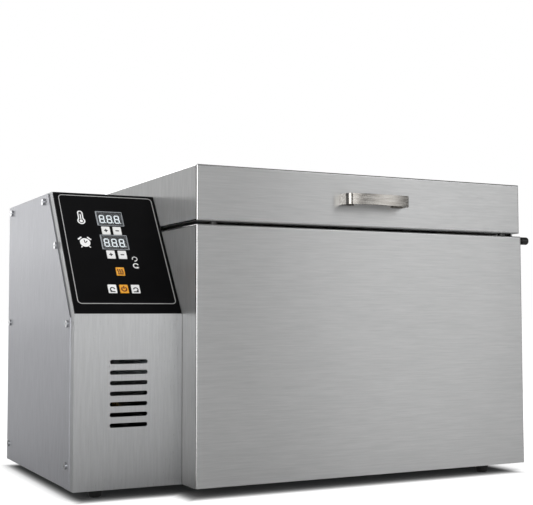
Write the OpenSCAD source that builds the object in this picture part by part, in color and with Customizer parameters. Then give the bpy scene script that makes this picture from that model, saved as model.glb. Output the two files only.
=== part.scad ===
// Countertop electric drum roaster: a folded stainless cabinet with a lid hinged at its
// rear edge, a turning drum over tube heaters, and a control box on the left side.
// X runs to the right, Y to the back, Z up; the origin is on the table, at the middle.

/* [Cabinet] */
// Width of the roasting cabinet
cab_w = 462; // [456:1:480]
// Depth of the cabinet and of the control box's back
body_d = 345; // [345:1:360]
// Height of the cabinet's rim above the table
cab_top = 303.5; // [303:0.5:312]
// Thickness of the folded sheet
sheet = 1; // [0.8:0.1:1.2]
// Outside radius of the folds
fold_r = 2; // [1.6:0.2:2.4]

/* [Lid] */
// Height of the folded lid
lid_h = 64; // [60:1:70]
// Gap between the rim and the lid
seam = 3.5; // [3:0.5:5]
// Where the lid's left wall stands from the cabinet's left face
lid_x0 = 0.2; // [0.1:0.1:1]
// How far the lid's right wall stands inside the cabinet's right face
lid_inset = 2.5; // [1:0.5:4]

/* [Handle] */
// Length of the strap handle
handle_w = 89.5; // [80:0.5:110]
// How far the strap stands in front of the lid
handle_out = 22; // [20:1:30]
// Height of the strap
handle_h = 13; // [10:1:16]
// Thickness of the strap
handle_t = 3; // [2.5:0.5:4]
// Radius of the strap's slight bow
bow_r = 300; // [200:10:600]
// Outer radius of the strap's bends
bend_r = 8; // [6:0.5:10]

/* [Control box] */
// Width of the control box, beside the cabinet
box_w = 128; // [124:1:136]
// Set-back of its front from the cabinet's front
box_setback = 40; // [36:1:44]
// Height of the fold under the sloping panel
kink_z = 203; // [200:1:206]
// Height of its flat top
box_top = 347; // [344:1:350]
// Depth that the sloping panel takes
slope_run = 95.6; // [94:0.2:97]
// Number of cooling slots in the front
slot_count = 7; // [5:1:8]
// Length of a cooling slot
slot_len = 44; // [36:1:50]
// Width of a cooling slot
slot_wide = 4.8; // [4:0.2:6]
// Distance between cooling slots
slot_pitch = 11.65; // [10:0.05:13]

/* [Panel] */
// Width of a key cap
key_w = 10; // [9:0.2:10.4]
// Height of a key cap
key_h = 11.5; // [10:0.1:11.6]
// Distance between keys in a row
key_pitch = 13.8; // [13.6:0.1:14.4]
// Travel of a key
key_travel = 0.5; // [0.3:0.1:0.5]
// Width of a display window
display_w = 31; // [29:0.5:32]
// Height of a display window
display_h = 20; // [19:0.5:20]

/* [Drum] */
// Outside radius of the drum shell
drum_r = 108; // [105:0.5:108]
// Length of the drum shell
drum_len = 380; // [370:1:380]
// Half of the angle that the drum's mouth opens, in degrees
mouth_half = 26; // [20:1:26]
// Swing of the sliding hatch round the drum, in degrees
hatch_swing = 62; // [56:1:62]
// Number of lifting flights inside the drum
flight_count = 3; // [2:1:3]

/* [Heating] */
// Radius of a heater tube
heater_r = 4; // [3:0.25:4]
// Radius at which the heater tubes run round the drum
heater_ring = 128; // [127:0.5:130]

/* [Feet] */
// Height of a rubber foot
foot_h = 10; // [8:1:12]
// Radius of a rubber foot
foot_r = 8.5; // [8:0.5:10]

/* [Lid lock] */
// Radius of the lock's knob
knob_r = 5; // [4:0.25:6]
// Reach of the knob from the cabinet's right wall
knob_out = 19.5; // [18:0.5:24]
// Travel of the lock bolt
lock_travel = 5.5; // [5:0.5:6]

/* [Hidden] */
$fn = 48;
// Margin by which a cut runs past a face
eps = 1;
// Screws: M4 shank, the holes that clear it, and the round head, then the same of M3
screw_r = 2;
screw_hole_r = 2.15;
head_r = 4;
head_h = 2;
cross_len = 4.4;
cross_wide = 1;
cross_deep = 0.9;
small_screw_r = 1.5;
small_hole_r = 1.65;
small_head_r = 2.8;
// Back panels stand behind the wrapped sheets
back_y = body_d - sheet;
plate_t = 1.2;
floor_top = foot_h + plate_t;
flange_h = 12;
corner_gap = 4;
base_vent_y = [120, 150, 180, 210];
// Screws in the back panels: the cabinet's columns and rows, the box's top row, its joint's rows
cab_screw_x = [8, cab_w - 8];
cab_screw_z = [40, 160, 270];
box_screw_x = [-100, -28];
box_screw_z = box_top - 8;
joint_screw_x = -8;
joint_screw_z = [60, 280];
back_vent_z0 = 215;
// Box of the whole object, which places the origin
leaf_t = 1.5;
knuckle_r = 4;
reach_left = -(box_w + head_h);
reach_right = cab_w + knob_out;
reach_front = -handle_out;
reach_back = body_d + 2 * knuckle_r;
mid_x = (reach_left + reach_right) / 2;
mid_y = (reach_front + reach_back) / 2;
// Drum axis and roasting chamber
axis_y = body_d / 2;
axis_z = 170;
chamber_r = 145;
chamber_x0 = 16;
chamber_x1 = cab_w - 16;
rim_z = cab_top - sheet;
mouth_y0 = axis_y - chamber_r;
mouth_y1 = axis_y + chamber_r;
wool_t = 22;
wool_gap = 0.2;
// Lid
lid_x1 = cab_w - lid_inset;
lid_z0 = cab_top + seam;
lid_z1 = lid_z0 + lid_h;
lid_mid_z = lid_z0 + lid_h / 2;
lid_lip = 15;
pan_z0 = lid_z0 + sheet;
pan_z1 = lid_z0 + 24;
pan_edge_x = 15.8;
pan_edge_y = 27;
handle_screw_x = handle_w / 2 - 11;
bow_y = bow_r - handle_out;
bend_x = handle_w / 2 - bend_r;
bend_y = bow_y - sqrt(pow(bow_r - bend_r, 2) - pow(bend_x, 2));
bend_reach = 1.5 * bend_r / (bow_r - bend_r);
bend_slack = 0.02;
bumper_spots = [[24, 8], [436, 8], [24, body_d - 8], [436, body_d - 8]];
// Hinges
hinge_y = body_d + knuckle_r;
hinge_z = cab_top + seam / 2;
hinge_len = 60;
hinge_x = [70, 392];
leaf_h = 25;
pin_r = 2;
knuckle_gap = 0.3;
knuckle_ends = [0, 18, 42, 60];
leaf_screw_x = [10, 30, 50];
leaf_screw_z = 17;
// Control box
box_gap = 0.6;
slope_a = atan(slope_run / (box_top - kink_z));
slope_len = sqrt(pow(slope_run, 2) + pow(box_top - kink_z, 2));
inner_x1 = -box_gap;
inner_x0 = inner_x1 - sheet;
spacer_spots = [[62, 40], [320, 40], [320, 285], [150, 285]];
spacer_r = 6;
wrap_x0 = -box_w + sheet;
slot_x = -64;
slot_z0 = 79.8;
cover_edge = 13;
side_lip = 32;
top_lip = 20;
cover_screws = [
  [169, box_top - 9], [330, box_top - 9], [113, 282], [62, 192], [64, 36], [333, 192], [333, 32]
];
back_lip = 22;
// Panel face: u runs to the right from the box's left edge, s up the slope
panel_x0 = -box_w + 0.6;
panel_mid = 63.4;
overlay_t = 0.5;
key_proud = 0.9;
key_slack = 0.3;
key_foot_z = -2.5;
key_foot_t = 1.3;
switch_h = 3.5;
display_u = 64.6;
display_rows = [134.8, 99.8];
display_edge = 0.5;
board_depth = 8;
board_t = 1.6;
board_lo = [18, 18];
board_hi = [108, 158];
stud_inset = 4;
stud_spots = [
  for (u = [board_lo[0] + stud_inset, board_hi[0] - stud_inset])
    for (v = [board_lo[1] + stud_inset, board_hi[1] - stud_inset]) [u, v]
];
temp_row = 116.8;
time_row = 81.7;
heat_row = 57.7;
motor_row = 33.3;
key_spots = [
  [panel_mid - key_pitch / 2, temp_row], [panel_mid + key_pitch / 2, temp_row],
  [panel_mid - key_pitch / 2, time_row], [panel_mid + key_pitch / 2, time_row],
  [panel_mid, heat_row],
  [panel_mid - key_pitch, motor_row], [panel_mid, motor_row], [panel_mid + key_pitch, motor_row]
];
// Drum, its ends, and the drive
drum_t = 1;
bead_x = [62, 394];
bead_r = 2;
drum_x0 = 38;
drum_x1 = drum_x0 + drum_len;
head_inset = 4;
head_t = 1.2;
hub_r = 24;
journal_r = 8;
journal_gap = 0.06;
tongue_t = 8;
fork_x0 = 17.5;
fork_x1 = 29.5;
shaft_r = 6;
shaft_gap = 0.05;
output_r = 4;
bearing_r = 10;
mouth_x0 = 110;
mouth_x1 = 346;
hatch_x0 = 92;
hatch_x1 = 364;
hatch_half = 30;
hatch_r0 = drum_r + 0.4;
hatch_r1 = drum_r + 1.6;
rail_r = drum_r + 3.1;
pull_r = drum_r + 8;
pull_x0 = 200;
pull_x1 = 256;
pull_a = -27;
flight_reach = 25;
flight_t = 1.2;
flight_step = 105;
// Heaters
heater_spread = 15;
heater_mid = 33;
heater_bend_x = 400;
saddle_x = heater_bend_x - 8;
saddle_r = 121;
saddle_half = 22;
gland_r = 6;
heater_spots = [
  for (side = [1, -1]) for (d = [-heater_spread, heater_spread]) side * (heater_mid + d)
];
probe_angle = -78;
probe_ring = 131;
probe_r = 3;
probe_gland_r = 4;
// Lid lock
lock_y = 12;
lock_z = cab_top - 4.8;
lock_r = 2;
lock_tip = cab_w - 9;
keeper_x0 = cab_w - 12.5;
keeper_x1 = cab_w - 10.5;
keeper_y0 = 5;
keeper_y1 = 19;
keeper_slack = 2;
keeper_bore = lock_r + 0.4;
knob_x0 = cab_w + 3 + lock_travel;
knob_x1 = cab_w + knob_out;
knob_bore_x1 = knob_x1 - 6;
// Motor
motor_x = -52;
motor_bracket_t = 2;
ear_z = 34;
gearbox_r = 30;
gearbox_len = 20;
can_r = 29;
can_len = 46;
foot_spots = [[-95, 62], [404, 15], [-95, 315], [404, 315]];
foot_taper = 1.5;
foot_edge = 1;
foot_recess = 4;
nut_h = 3.2;
// Mains inlet
inlet_x = -64;
inlet_z = 70;
inlet_screw_x = 20;
inlet_flange_t = 2.5;

// Helpers
module place() translate([-mid_x, -mid_y, 0]) children();

module slab(lo, hi) translate(lo) cube(hi - lo);

module rod(x0, x1, r, sides = $fn)
  translate([x0, 0, 0]) rotate([0, 90, 0]) cylinder(r = r, h = x1 - x0, $fn = sides);

module rod_y(y0, y1, r) translate([0, y1, 0]) rotate([90, 0, 0]) cylinder(r = r, h = y1 - y0);

module at_axis() translate([0, axis_y, axis_z]) children();

// Slice round the drum's axis, between two angles from the top towards the back
module arc_x(a0, a1)
  rotate([0, 90, 0]) rotate([0, 0, 180 - a1]) rotate_extrude(angle = a1 - a0) children();

module turned_x() rotate([0, 90, 0]) rotate_extrude() children();

// Band of a turned profile, from radius r0 to r1 and from x0 to x1
module band(r0, r1, x0, x1) translate([r0, x0]) square([r1 - r0, x1 - x0]);

// Rectangle with the chosen corners rounded: near left, near right, far right, far left
module soft_rect(lo, hi, r, round_at = [1, 1, 1, 1]) {
  corners = [[lo[0], lo[1], 1, 1], [hi[0], lo[1], -1, 1], [hi[0], hi[1], -1, -1], [lo[0], hi[1], 1, -1]];
  difference() {
    translate(lo) square(hi - lo);
    for (i = [0:3])
      if (round_at[i])
        translate([corners[i][0], corners[i][1]]) mirror([corners[i][2] < 0 ? 1 : 0, 0])
          mirror([0, corners[i][3] < 0 ? 1 : 0]) difference() {
            translate([-eps, -eps]) square(r + eps);
            translate([r, r]) circle(r);
          }
  }
}

// Block folded from sheet: its upright corners and top edges are rounded, and its lower edges if base is 1
module folded_block(lo, hi, r, back = 1, base = 0)
  intersection() {
    translate([0, 0, lo[2]]) linear_extrude(hi[2] - lo[2])
      soft_rect([lo[0], lo[1]], [hi[0], hi[1]], r, [1, 1, back, back]);
    translate([0, hi[1], 0]) rotate([90, 0, 0]) linear_extrude(hi[1] - lo[1])
      soft_rect([lo[0], lo[2]], [hi[0], hi[2]], r, [base, base, 1, 1]);
    translate([lo[0], 0, 0]) rotate([90, 0, 90]) linear_extrude(hi[0] - lo[0])
      soft_rect([lo[1], lo[2]], [hi[1], hi[2]], r, [base, base * back, back, 1]);
  }

// Stadium slot centred on the origin, long in X, cut along Y
module slot_cut(len, wide, depth)
  rotate([90, 0, 0]) linear_extrude(depth, center = true) {
    square([len - wide, wide], center = true);
    for (side = [-1, 1]) translate([side * (len - wide) / 2, 0]) circle(wide / 2);
  }

// Control box in side view: set back by front behind its front and slope, by top under its top
function box_section(front, top, y1, z0) = [
  [box_setback + front, z0],
  [box_setback + front, kink_z - front * tan(slope_a / 2)],
  [box_setback + front + tan(slope_a) * (box_top - top - kink_z + front * tan(slope_a / 2)), box_top - top],
  [y1, box_top - top],
  [y1, z0]
];

module box_slice(x0, x1, points)
  translate([x0, 0, 0]) rotate([90, 0, 90]) linear_extrude(x1 - x0) polygon(points);

// Frame of the sloping panel: z is 0 on the sheet's face and grows outward
module on_panel()
  translate([panel_x0, box_setback, kink_z]) rotate([90 - slope_a, 0, 0]) children();

module round_plate(w, h, r, t) linear_extrude(t) soft_rect([-w / 2, -h / 2], [w / 2, h / 2], r);

// Roasting chamber in end view: round below its axis, upright above it
module trough_face(r, top)
  intersection() {
    union() {
      circle(r);
      translate([-r, 0]) square([2 * r, r]);
    }
    translate([-r - eps, -r - eps]) square([2 * r + 2 * eps, top - axis_z + r + eps]);
  }

module trough_block(x0, x1, r, top)
  translate([x0, axis_y, axis_z]) rotate([90, 0, 90]) linear_extrude(x1 - x0) trough_face(r, top);

// Holes for the drive bearing, the heaters and the probe, through the left walls
module left_wall_holes(x0, x1, slack) {
  at_axis() rod(x0, x1, bearing_r + slack);
  for (a = heater_spots) at_axis() rotate([-a, 0, 0]) translate([0, 0, -heater_ring])
    rod(x0, x1, gland_r + slack);
  at_axis() rotate([-probe_angle, 0, 0]) translate([0, 0, -probe_ring]) rod(x0, x1, probe_gland_r + slack);
}

// Screws with round heads; the head stands outside the origin's plane
module cross_cut()
  for (turn = [0, 90])
    rotate([turn, 0, 0]) translate([cross_deep / 2 - head_h, 0, 0])
      cube([cross_deep + 0.01, cross_wide, cross_len], center = true);

module side_screw(len, r = screw_r, cap = head_r) {
  difference() {
    rod(-head_h, 0, cap);
    cross_cut();
  }
  rod(0, len, r);
}

module back_screw(len, r = screw_r, cap = head_r) rotate([0, 0, -90]) side_screw(len, r, cap);

// Base and feet
module base_plate()
  color("lightgray")
  difference() {
    union() {
      translate([0, 0, foot_h]) linear_extrude(plate_t) {
        translate([sheet, sheet]) square([cab_w - 2 * sheet, back_y - sheet]);
        translate([wrap_x0 + sheet, box_setback + sheet])
          square([cab_w - wrap_x0 - 2 * sheet, back_y - box_setback - sheet]);
      }
      slab([corner_gap, sheet, floor_top], [cab_w - corner_gap, sheet + plate_t, floor_top + flange_h]);
      slab([cab_w - sheet - plate_t, corner_gap, floor_top],
        [cab_w - sheet, back_y - corner_gap, floor_top + flange_h]);
      slab([wrap_x0 + corner_gap, box_setback + sheet, floor_top],
        [inner_x0 - corner_gap, box_setback + sheet + plate_t, floor_top + flange_h]);
      slab([wrap_x0 + sheet, box_setback + side_lip + 6, floor_top],
        [wrap_x0 + sheet + plate_t, back_y - back_lip - 2, floor_top + flange_h]);
    }
    for (p = foot_spots) translate([p[0], p[1], foot_h - eps])
      cylinder(r = screw_hole_r, h = plate_t + 2 * eps);
    for (y = base_vent_y) translate([slot_x, y, foot_h + plate_t / 2]) rotate([90, 0, 0])
      slot_cut(slot_len, slot_wide, 4);
  }

module feet()
  color("black")
  for (p = foot_spots) translate([p[0], p[1], 0]) rotate_extrude() difference() {
    polygon([[0, 0], [foot_r - foot_taper - foot_edge, 0], [foot_r - foot_taper, foot_edge],
      [foot_r, foot_h], [0, foot_h]]);
    translate([-eps, -eps]) square([screw_hole_r + eps, foot_h + 2 * eps]);
    translate([-eps, -eps]) square([head_r + 0.5 + eps, foot_recess + eps]);
  }

module foot_screws()
  color("silver")
  for (p = foot_spots) translate([p[0], p[1], 0]) {
    difference() {
      translate([0, 0, foot_recess - head_h]) cylinder(r = head_r, h = head_h);
      translate([0, 0, foot_recess]) rotate([0, -90, 0]) cross_cut();
    }
    translate([0, 0, foot_recess]) cylinder(r = screw_r, h = floor_top);
    translate([0, 0, floor_top]) difference() {
      cylinder(r = head_r, h = nut_h, $fn = 6);
      translate([0, 0, -eps]) cylinder(r = screw_r + 0.02, h = nut_h + 2 * eps);
    }
  }

// Cabinet
module cabinet_shell()
  color("silver")
  difference() {
    union() {
      difference() {
        folded_block([0, 0, foot_h], [cab_w, back_y, cab_top], fold_r, 0);
        slab([sheet, sheet, foot_h - eps], [cab_w - sheet, back_y + eps, rim_z]);
      }
      for (x = [sheet, cab_w - sheet - 13]) slab([x, back_y - sheet, 24], [x + 13, back_y, 290]);
    }
    slab([chamber_x0, mouth_y0, rim_z - eps], [chamber_x1, mouth_y1, cab_top + eps]);
    slab([-eps, box_setback + sheet, foot_h - eps], [sheet + eps, back_y + eps, floor_top]);
    slab([keeper_x0 - eps, keeper_y0 - keeper_slack, rim_z - eps],
      [keeper_x1 + eps, keeper_y1 + keeper_slack, cab_top + eps]);
    translate([0, lock_y, lock_z]) rod(cab_w - sheet - eps, cab_w + eps, 3);
    left_wall_holes(-eps, sheet + eps, 0.1);
    bracket_screw_spots() rod(-eps, sheet + eps, screw_hole_r);
    for (x = cab_screw_x, z = cab_screw_z) translate([x, 0, z])
      rod_y(back_y - sheet - eps, back_y + eps, screw_hole_r);
  }

module cabinet_back()
  color("silver")
  difference() {
    slab([0, back_y, foot_h], [cab_w, body_d, cab_top]);
    for (x = cab_screw_x, z = cab_screw_z) translate([x, 0, z])
      rod_y(back_y - eps, body_d + eps, screw_hole_r);
    for (x = hinge_x, s = leaf_screw_x) translate([x - hinge_len / 2 + s, 0, hinge_z - leaf_screw_z])
      rod_y(back_y - eps, body_d + eps, screw_hole_r);
  }

module panel_screws()
  color("lightgray") {
    for (p = cover_screws) translate([-box_w, p[0], p[1]]) side_screw(7);
    for (x = cab_screw_x, z = cab_screw_z) translate([x, body_d, z]) back_screw(6);
    for (z = joint_screw_z) translate([joint_screw_x, body_d, z]) back_screw(6);
    for (x = box_screw_x) translate([x, body_d, box_screw_z]) back_screw(6);
    for (side = [-1, 1]) translate([inlet_x + side * inlet_screw_x, body_d + inlet_flange_t, inlet_z])
      back_screw(8, small_screw_r, small_head_r);
    for (x = hinge_x, s = leaf_screw_x)
      translate([x - hinge_len / 2 + s, body_d + leaf_t, hinge_z - leaf_screw_z]) back_screw(5);
  }

module chamber_trough()
  color("gray") {
    difference() {
      union() {
        trough_block(chamber_x0, chamber_x1, chamber_r + sheet, rim_z);
        slab([chamber_x0, mouth_y0 - 12, rim_z - sheet], [chamber_x1, mouth_y1 + 12, rim_z]);
      }
      trough_block(chamber_x0 - eps, chamber_x1 + eps, chamber_r, rim_z + eps);
    }
    for (side = [-1, 1]) at_axis() rotate([side * heater_mid, 0, 0]) difference() {
      arc_x(180 - saddle_half, 180 + saddle_half)
        band(saddle_r, chamber_r + sheet / 2, saddle_x, saddle_x + plate_t);
      for (d = [-heater_spread, heater_spread]) rotate([d, 0, 0]) translate([0, 0, -heater_ring])
        rod(saddle_x - eps, saddle_x + plate_t + eps, heater_r + 0.15);
    }
  }

module chamber_ends()
  color("gray") {
    difference() {
      trough_block(chamber_x0 - sheet, chamber_x0, chamber_r + sheet, rim_z);
      left_wall_holes(chamber_x0 - 2, chamber_x0 + 1, 0.1);
    }
    trough_block(chamber_x1, chamber_x1 + sheet, chamber_r + sheet, rim_z);
  }

module insulation()
  color("beige") {
    difference() {
      intersection() {
        trough_block(chamber_x0 + 0.2, chamber_x1 - 0.2, chamber_r + sheet + wool_t, rim_z - 4);
        slab([0, sheet + 3, floor_top + wool_gap], [cab_w, back_y - 3, cab_top]);
      }
      trough_block(0, cab_w, chamber_r + sheet + wool_gap, cab_top);
    }
    difference() {
      slab([sheet + wool_gap, 24, floor_top + flange_h + 1],
        [chamber_x0 - sheet - wool_gap, 321, rim_z - 6]);
      left_wall_holes(0, chamber_x0, 0.5);
    }
    slab([chamber_x1 + sheet + wool_gap, 24, floor_top + flange_h + 1],
      [cab_w - sheet - wool_gap, 321, rim_z - 6]);
  }

// Hinges: knuckles 1 and 3 belong to the cabinet's leaf, knuckle 2 to the lid's
module hinge_body_leaves()
  color("silver")
  for (x = hinge_x) translate([x - hinge_len / 2, hinge_y, hinge_z]) difference() {
    union() {
      slab([0, -knuckle_r, -leaf_h], [hinge_len, -knuckle_r + leaf_t, -knuckle_r - knuckle_gap]);
      for (k = [0, 2]) {
        slab([knuckle_ends[k], -knuckle_r, -knuckle_r - 1], [knuckle_ends[k + 1], -knuckle_r + leaf_t, 0]);
        rod(knuckle_ends[k], knuckle_ends[k + 1], knuckle_r);
      }
    }
    rod(-eps, hinge_len + eps, pin_r + 0.02);
    for (s = leaf_screw_x) translate([s, 0, -leaf_screw_z]) rod_y(-knuckle_r - eps, 0, screw_hole_r);
  }

module hinge_pins()
  color("dimgray")
  for (x = hinge_x) translate([x - hinge_len / 2, hinge_y, hinge_z]) {
    rod(0, hinge_len + 1.5, pin_r);
    rod(-1.5, 0, 3);
  }

module hinge_lid_leaves()
  color("silver")
  for (x = hinge_x) translate([x - hinge_len / 2, hinge_y, hinge_z]) difference() {
    union() {
      slab([0, -knuckle_r, knuckle_r + knuckle_gap], [hinge_len, -knuckle_r + leaf_t, leaf_h]);
      slab([knuckle_ends[1] + knuckle_gap, -knuckle_r, 0],
        [knuckle_ends[2] - knuckle_gap, -knuckle_r + leaf_t, knuckle_r + 1]);
      rod(knuckle_ends[1] + knuckle_gap, knuckle_ends[2] - knuckle_gap, knuckle_r);
    }
    rod(-eps, hinge_len + eps, pin_r + 0.05);
    for (s = leaf_screw_x) translate([s, 0, leaf_screw_z]) rod_y(-knuckle_r - eps, 0, screw_hole_r);
  }

// Control box
module control_box_wrap()
  color("silver")
  difference() {
    union() {
      difference() {
        box_slice(wrap_x0, inner_x0, box_section(0, 0, back_y, foot_h));
        box_slice(wrap_x0 + sheet, inner_x0 + eps, box_section(sheet, sheet, back_y + eps, foot_h - eps));
        box_slice(wrap_x0 - eps, wrap_x0 + 2, box_section(side_lip, top_lip, back_y + eps, foot_h - eps));
        slab([wrap_x0 - eps, back_y - back_lip - 1, foot_h - eps],
          [wrap_x0 + sheet, back_y + eps, box_top - sheet]);
      }
      slab([wrap_x0 + 4, back_y - sheet, box_top - 14], [inner_x0 - 2, back_y, box_top - sheet]);
      on_panel() for (p = stud_spots) translate([p[0], p[1], 0]) {
        translate([0, 0, -board_depth]) cylinder(r = 2.5, h = board_depth - sheet / 2);
        translate([0, 0, -board_depth - 6]) cylinder(r = small_screw_r, h = 7);
      }
    }
    for (i = [0 : slot_count - 1])
      translate([slot_x, box_setback, slot_z0 + i * slot_pitch]) slot_cut(slot_len, slot_wide, 4);
    for (p = cover_screws) translate([0, p[0], p[1]]) rod(wrap_x0 - eps, wrap_x0 + 3, screw_hole_r);
    for (x = box_screw_x) translate([x, 0, box_screw_z]) rod_y(back_y - 3, back_y + eps, screw_hole_r);
    on_panel() {
      for (s = display_rows) translate([display_u, s, -3])
        round_plate(display_w - 2 * display_edge, display_h - 2 * display_edge, 0.5, 4);
      for (k = key_spots) translate([k[0], k[1], -3])
        round_plate(key_w + 2 * key_slack, key_h + 2 * key_slack, 1, 4);
    }
  }

module control_box_inner_side()
  color("silver")
  difference() {
    union() {
      box_slice(inner_x0, inner_x1, box_section(0, 0, back_y, floor_top));
      slab([inner_x0 - 12, back_y - sheet, 24], [inner_x0, back_y, 328]);
      for (p = spacer_spots) translate([0, p[0], p[1]]) rod(inner_x0, 0, spacer_r);
    }
    left_wall_holes(inner_x0 - eps, inner_x1 + eps, 0.1);
    bracket_screw_spots() rod(inner_x0 - eps, inner_x1 + eps, screw_hole_r);
    for (z = joint_screw_z) translate([joint_screw_x, 0, z]) rod_y(back_y - 3, back_y + eps, screw_hole_r);
  }

module side_cover()
  color("silver")
  difference() {
    box_slice(-box_w, wrap_x0, box_section(cover_edge, 0.5, body_d - 0.5, foot_h + 1));
    for (p = cover_screws) translate([0, p[0], p[1]]) rod(-box_w - eps, wrap_x0 + eps, screw_hole_r);
  }

module control_box_back()
  color("silver")
  difference() {
    union() {
      slab([wrap_x0, back_y, foot_h], [inner_x1, body_d, box_top]);
      slab([wrap_x0, back_y - back_lip, floor_top], [wrap_x0 + sheet, back_y, box_top - sheet]);
    }
    for (p = cover_screws) translate([0, p[0], p[1]]) rod(wrap_x0 - eps, wrap_x0 + 3, screw_hole_r);
    for (z = joint_screw_z) translate([joint_screw_x, 0, z])
      rod_y(back_y - eps, body_d + eps, screw_hole_r);
    for (x = box_screw_x) translate([x, 0, box_screw_z]) rod_y(back_y - eps, body_d + eps, screw_hole_r);
    for (i = [0 : slot_count - 1])
      translate([slot_x, back_y, back_vent_z0 + i * slot_pitch]) slot_cut(slot_len, slot_wide, 4);
    translate([inlet_x, back_y, inlet_z]) rotate([90, 0, 0]) translate([0, 0, -3])
      round_plate(29, 22, 1, 6);
    for (side = [-1, 1]) translate([inlet_x + side * inlet_screw_x, 0, inlet_z])
      rod_y(back_y - eps, body_d + eps, small_hole_r);
  }

// Three-pin mains inlet, with its two screws' holes and its blades
module mains_inlet()
  color("black")
  translate([inlet_x, 0, inlet_z]) {
    difference() {
      union() {
        translate([0, body_d + inlet_flange_t, 0]) rotate([90, 0, 0])
          round_plate(50, 24, 5, inlet_flange_t);
        slab([-14, 324, -10.5], [14, body_d, 10.5]);
      }
      slab([-12.25, 330, -8.5], [12.25, body_d + 4, 8.5]);
      for (side = [-1, 1]) translate([side * inlet_screw_x, 0, 0])
        rod_y(body_d - eps, body_d + 4, small_hole_r);
    }
    for (p = [[-7, -2], [7, -2], [0, 2]]) {
      slab([p[0] - 1, 329.5, p[1] - 2], [p[0] + 1, 344, p[1] + 2]);
      slab([p[0] - 0.4, 312, p[1] - 3], [p[0] + 0.4, 324.5, p[1] + 3]);
    }
  }

// Panel film, displays and boards
module fascia_overlay()
  color([0.06, 0.06, 0.07])
  on_panel() difference() {
    linear_extrude(overlay_t) soft_rect([1, 0.6], [box_w - 1.6, slope_len - 0.6], 1.5);
    for (s = display_rows) translate([display_u, s, -eps])
      round_plate(display_w + 0.4, display_h + 0.4, 0.7, 3);
    for (k = key_spots) translate([k[0], k[1], -eps])
      round_plate(key_w + 2 * key_slack, key_h + 2 * key_slack, 1, 3);
  }

module display_windows()
  color([0.3, 0.33, 0.36, 0.5])
  on_panel() for (s = display_rows) translate([display_u, s, 0])
    round_plate(display_w, display_h, 0.5, overlay_t);

module display_modules()
  color([0.12, 0.13, 0.15])
  on_panel() for (s = display_rows) translate([display_u, s, -board_depth])
    round_plate(display_w - 1.6, display_h - 1.6, 0.4, board_depth - 0.8);

// One bar of a figure, with pointed ends, along X
module figure_bar(len, t)
  polygon([[-len / 2, 0], [-len / 2 + t / 2, t / 2], [len / 2 - t / 2, t / 2],
    [len / 2, 0], [len / 2 - t / 2, -t / 2], [-len / 2 + t / 2, -t / 2]]);

module figure_eight(w, h, t) {
  for (y = [-h / 2, 0, h / 2]) translate([0, y]) figure_bar(w - 0.3, t);
  for (x = [-w / 2, w / 2], y = [-h / 4, h / 4]) translate([x, y]) rotate(90) figure_bar(h / 2 - 0.3, t);
  translate([w / 2 + 1.4, -h / 2]) circle(0.6);
}

module display_digits()
  color("white")
  on_panel() for (s = display_rows, i = [-1 : 1])
    translate([display_u + i * 9.2 - 0.5, s, -0.8]) linear_extrude(0.3) figure_eight(5.2, 10.6, 1.3);

module control_board()
  color("darkgreen")
  on_panel() {
    difference() {
      translate([0, 0, -board_depth - board_t]) linear_extrude(board_t) soft_rect(board_lo, board_hi, 2);
      for (p = stud_spots) translate([p[0], p[1], -board_depth - board_t - eps])
        cylinder(r = small_hole_r, h = board_t + 2 * eps);
    }
    for (k = key_spots) translate([k[0], k[1], -board_depth]) {
      translate([-3, -3, 0]) cube([6, 6, switch_h]);
      translate([0, 0, switch_h])
        cylinder(r = 1.6, h = board_depth + key_foot_z - key_travel - 0.05 - switch_h);
    }
    translate([30, 60, -board_depth - board_t - 9]) cube([24, 8, 9]);
    translate([70, 80, -board_depth - board_t - 6]) cube([14, 20, 6]);
  }

module key_cap(spot, tint)
  color(tint)
  on_panel() translate([key_spots[spot][0], key_spots[spot][1], 0]) {
    translate([0, 0, key_foot_z + key_foot_t / 2])
      round_plate(key_w, key_h, 0.8, key_proud - key_foot_z - key_foot_t / 2);
    slab([-key_w / 2 - 1.2, -key_h / 2 + 1, key_foot_z],
      [key_w / 2 + 1.2, key_h / 2 - 1, key_foot_z + key_foot_t]);
  }

module key_temp_up() key_cap(0, "white");
module key_temp_down() key_cap(1, "white");
module key_time_up() key_cap(2, "white");
module key_time_down() key_cap(3, "white");
module key_heat() key_cap(4, "orange");
module key_reverse() key_cap(5, "white");
module key_motor() key_cap(6, "orange");
module key_forward() key_cap(7, "white");

// Mains board with its transformer, relays and fuse, on four pillars
module power_board()
  color("darkgreen")
  translate([-118, 215, floor_top]) {
    translate([0, 0, 8]) difference() {
      cube([100, 92, board_t]);
      for (x = [5, 95], y = [5, 87]) translate([x, y, -eps])
        cylinder(r = small_hole_r, h = board_t + 2 * eps);
    }
    for (x = [5, 95], y = [5, 87]) translate([x, y, 0]) cylinder(r = 3, h = 8);
    translate([8, 14, 8 + board_t]) cube([32, 6, 28]);
    translate([14, 10, 8 + board_t]) cube([20, 14, 24]);
    for (x = [50, 72]) translate([x, 12, 8 + board_t]) cube([15.5, 19, 15.5]);
    for (x = [56, 76]) translate([x, 50, 8 + board_t]) cylinder(r = 5, h = 16);
    translate([12, 52, 8 + board_t]) cube([24, 9, 10]);
    translate([14, 76, 8 + board_t]) cube([70, 9, 11]);
  }

module terminal_block()
  color("ivory")
  translate([-62, 84, floor_top]) difference() {
    union() {
      cube([22, 96, 9]);
      for (i = [0 : 8]) translate([0, i * 11.5, 0]) cube([22, 4, 15]);
    }
    for (i = [0 : 7]) translate([11, i * 11.5 + 7.75, 4]) cylinder(r = 1.5, h = 6);
  }

// Gearmotor on its bracket; its ears carry two screws, the bracket's feet four
module bracket_screw_spots()
  for (y = [-44, 44], z = [-28, 28]) translate([0, axis_y + y, axis_z + z]) children();

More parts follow.
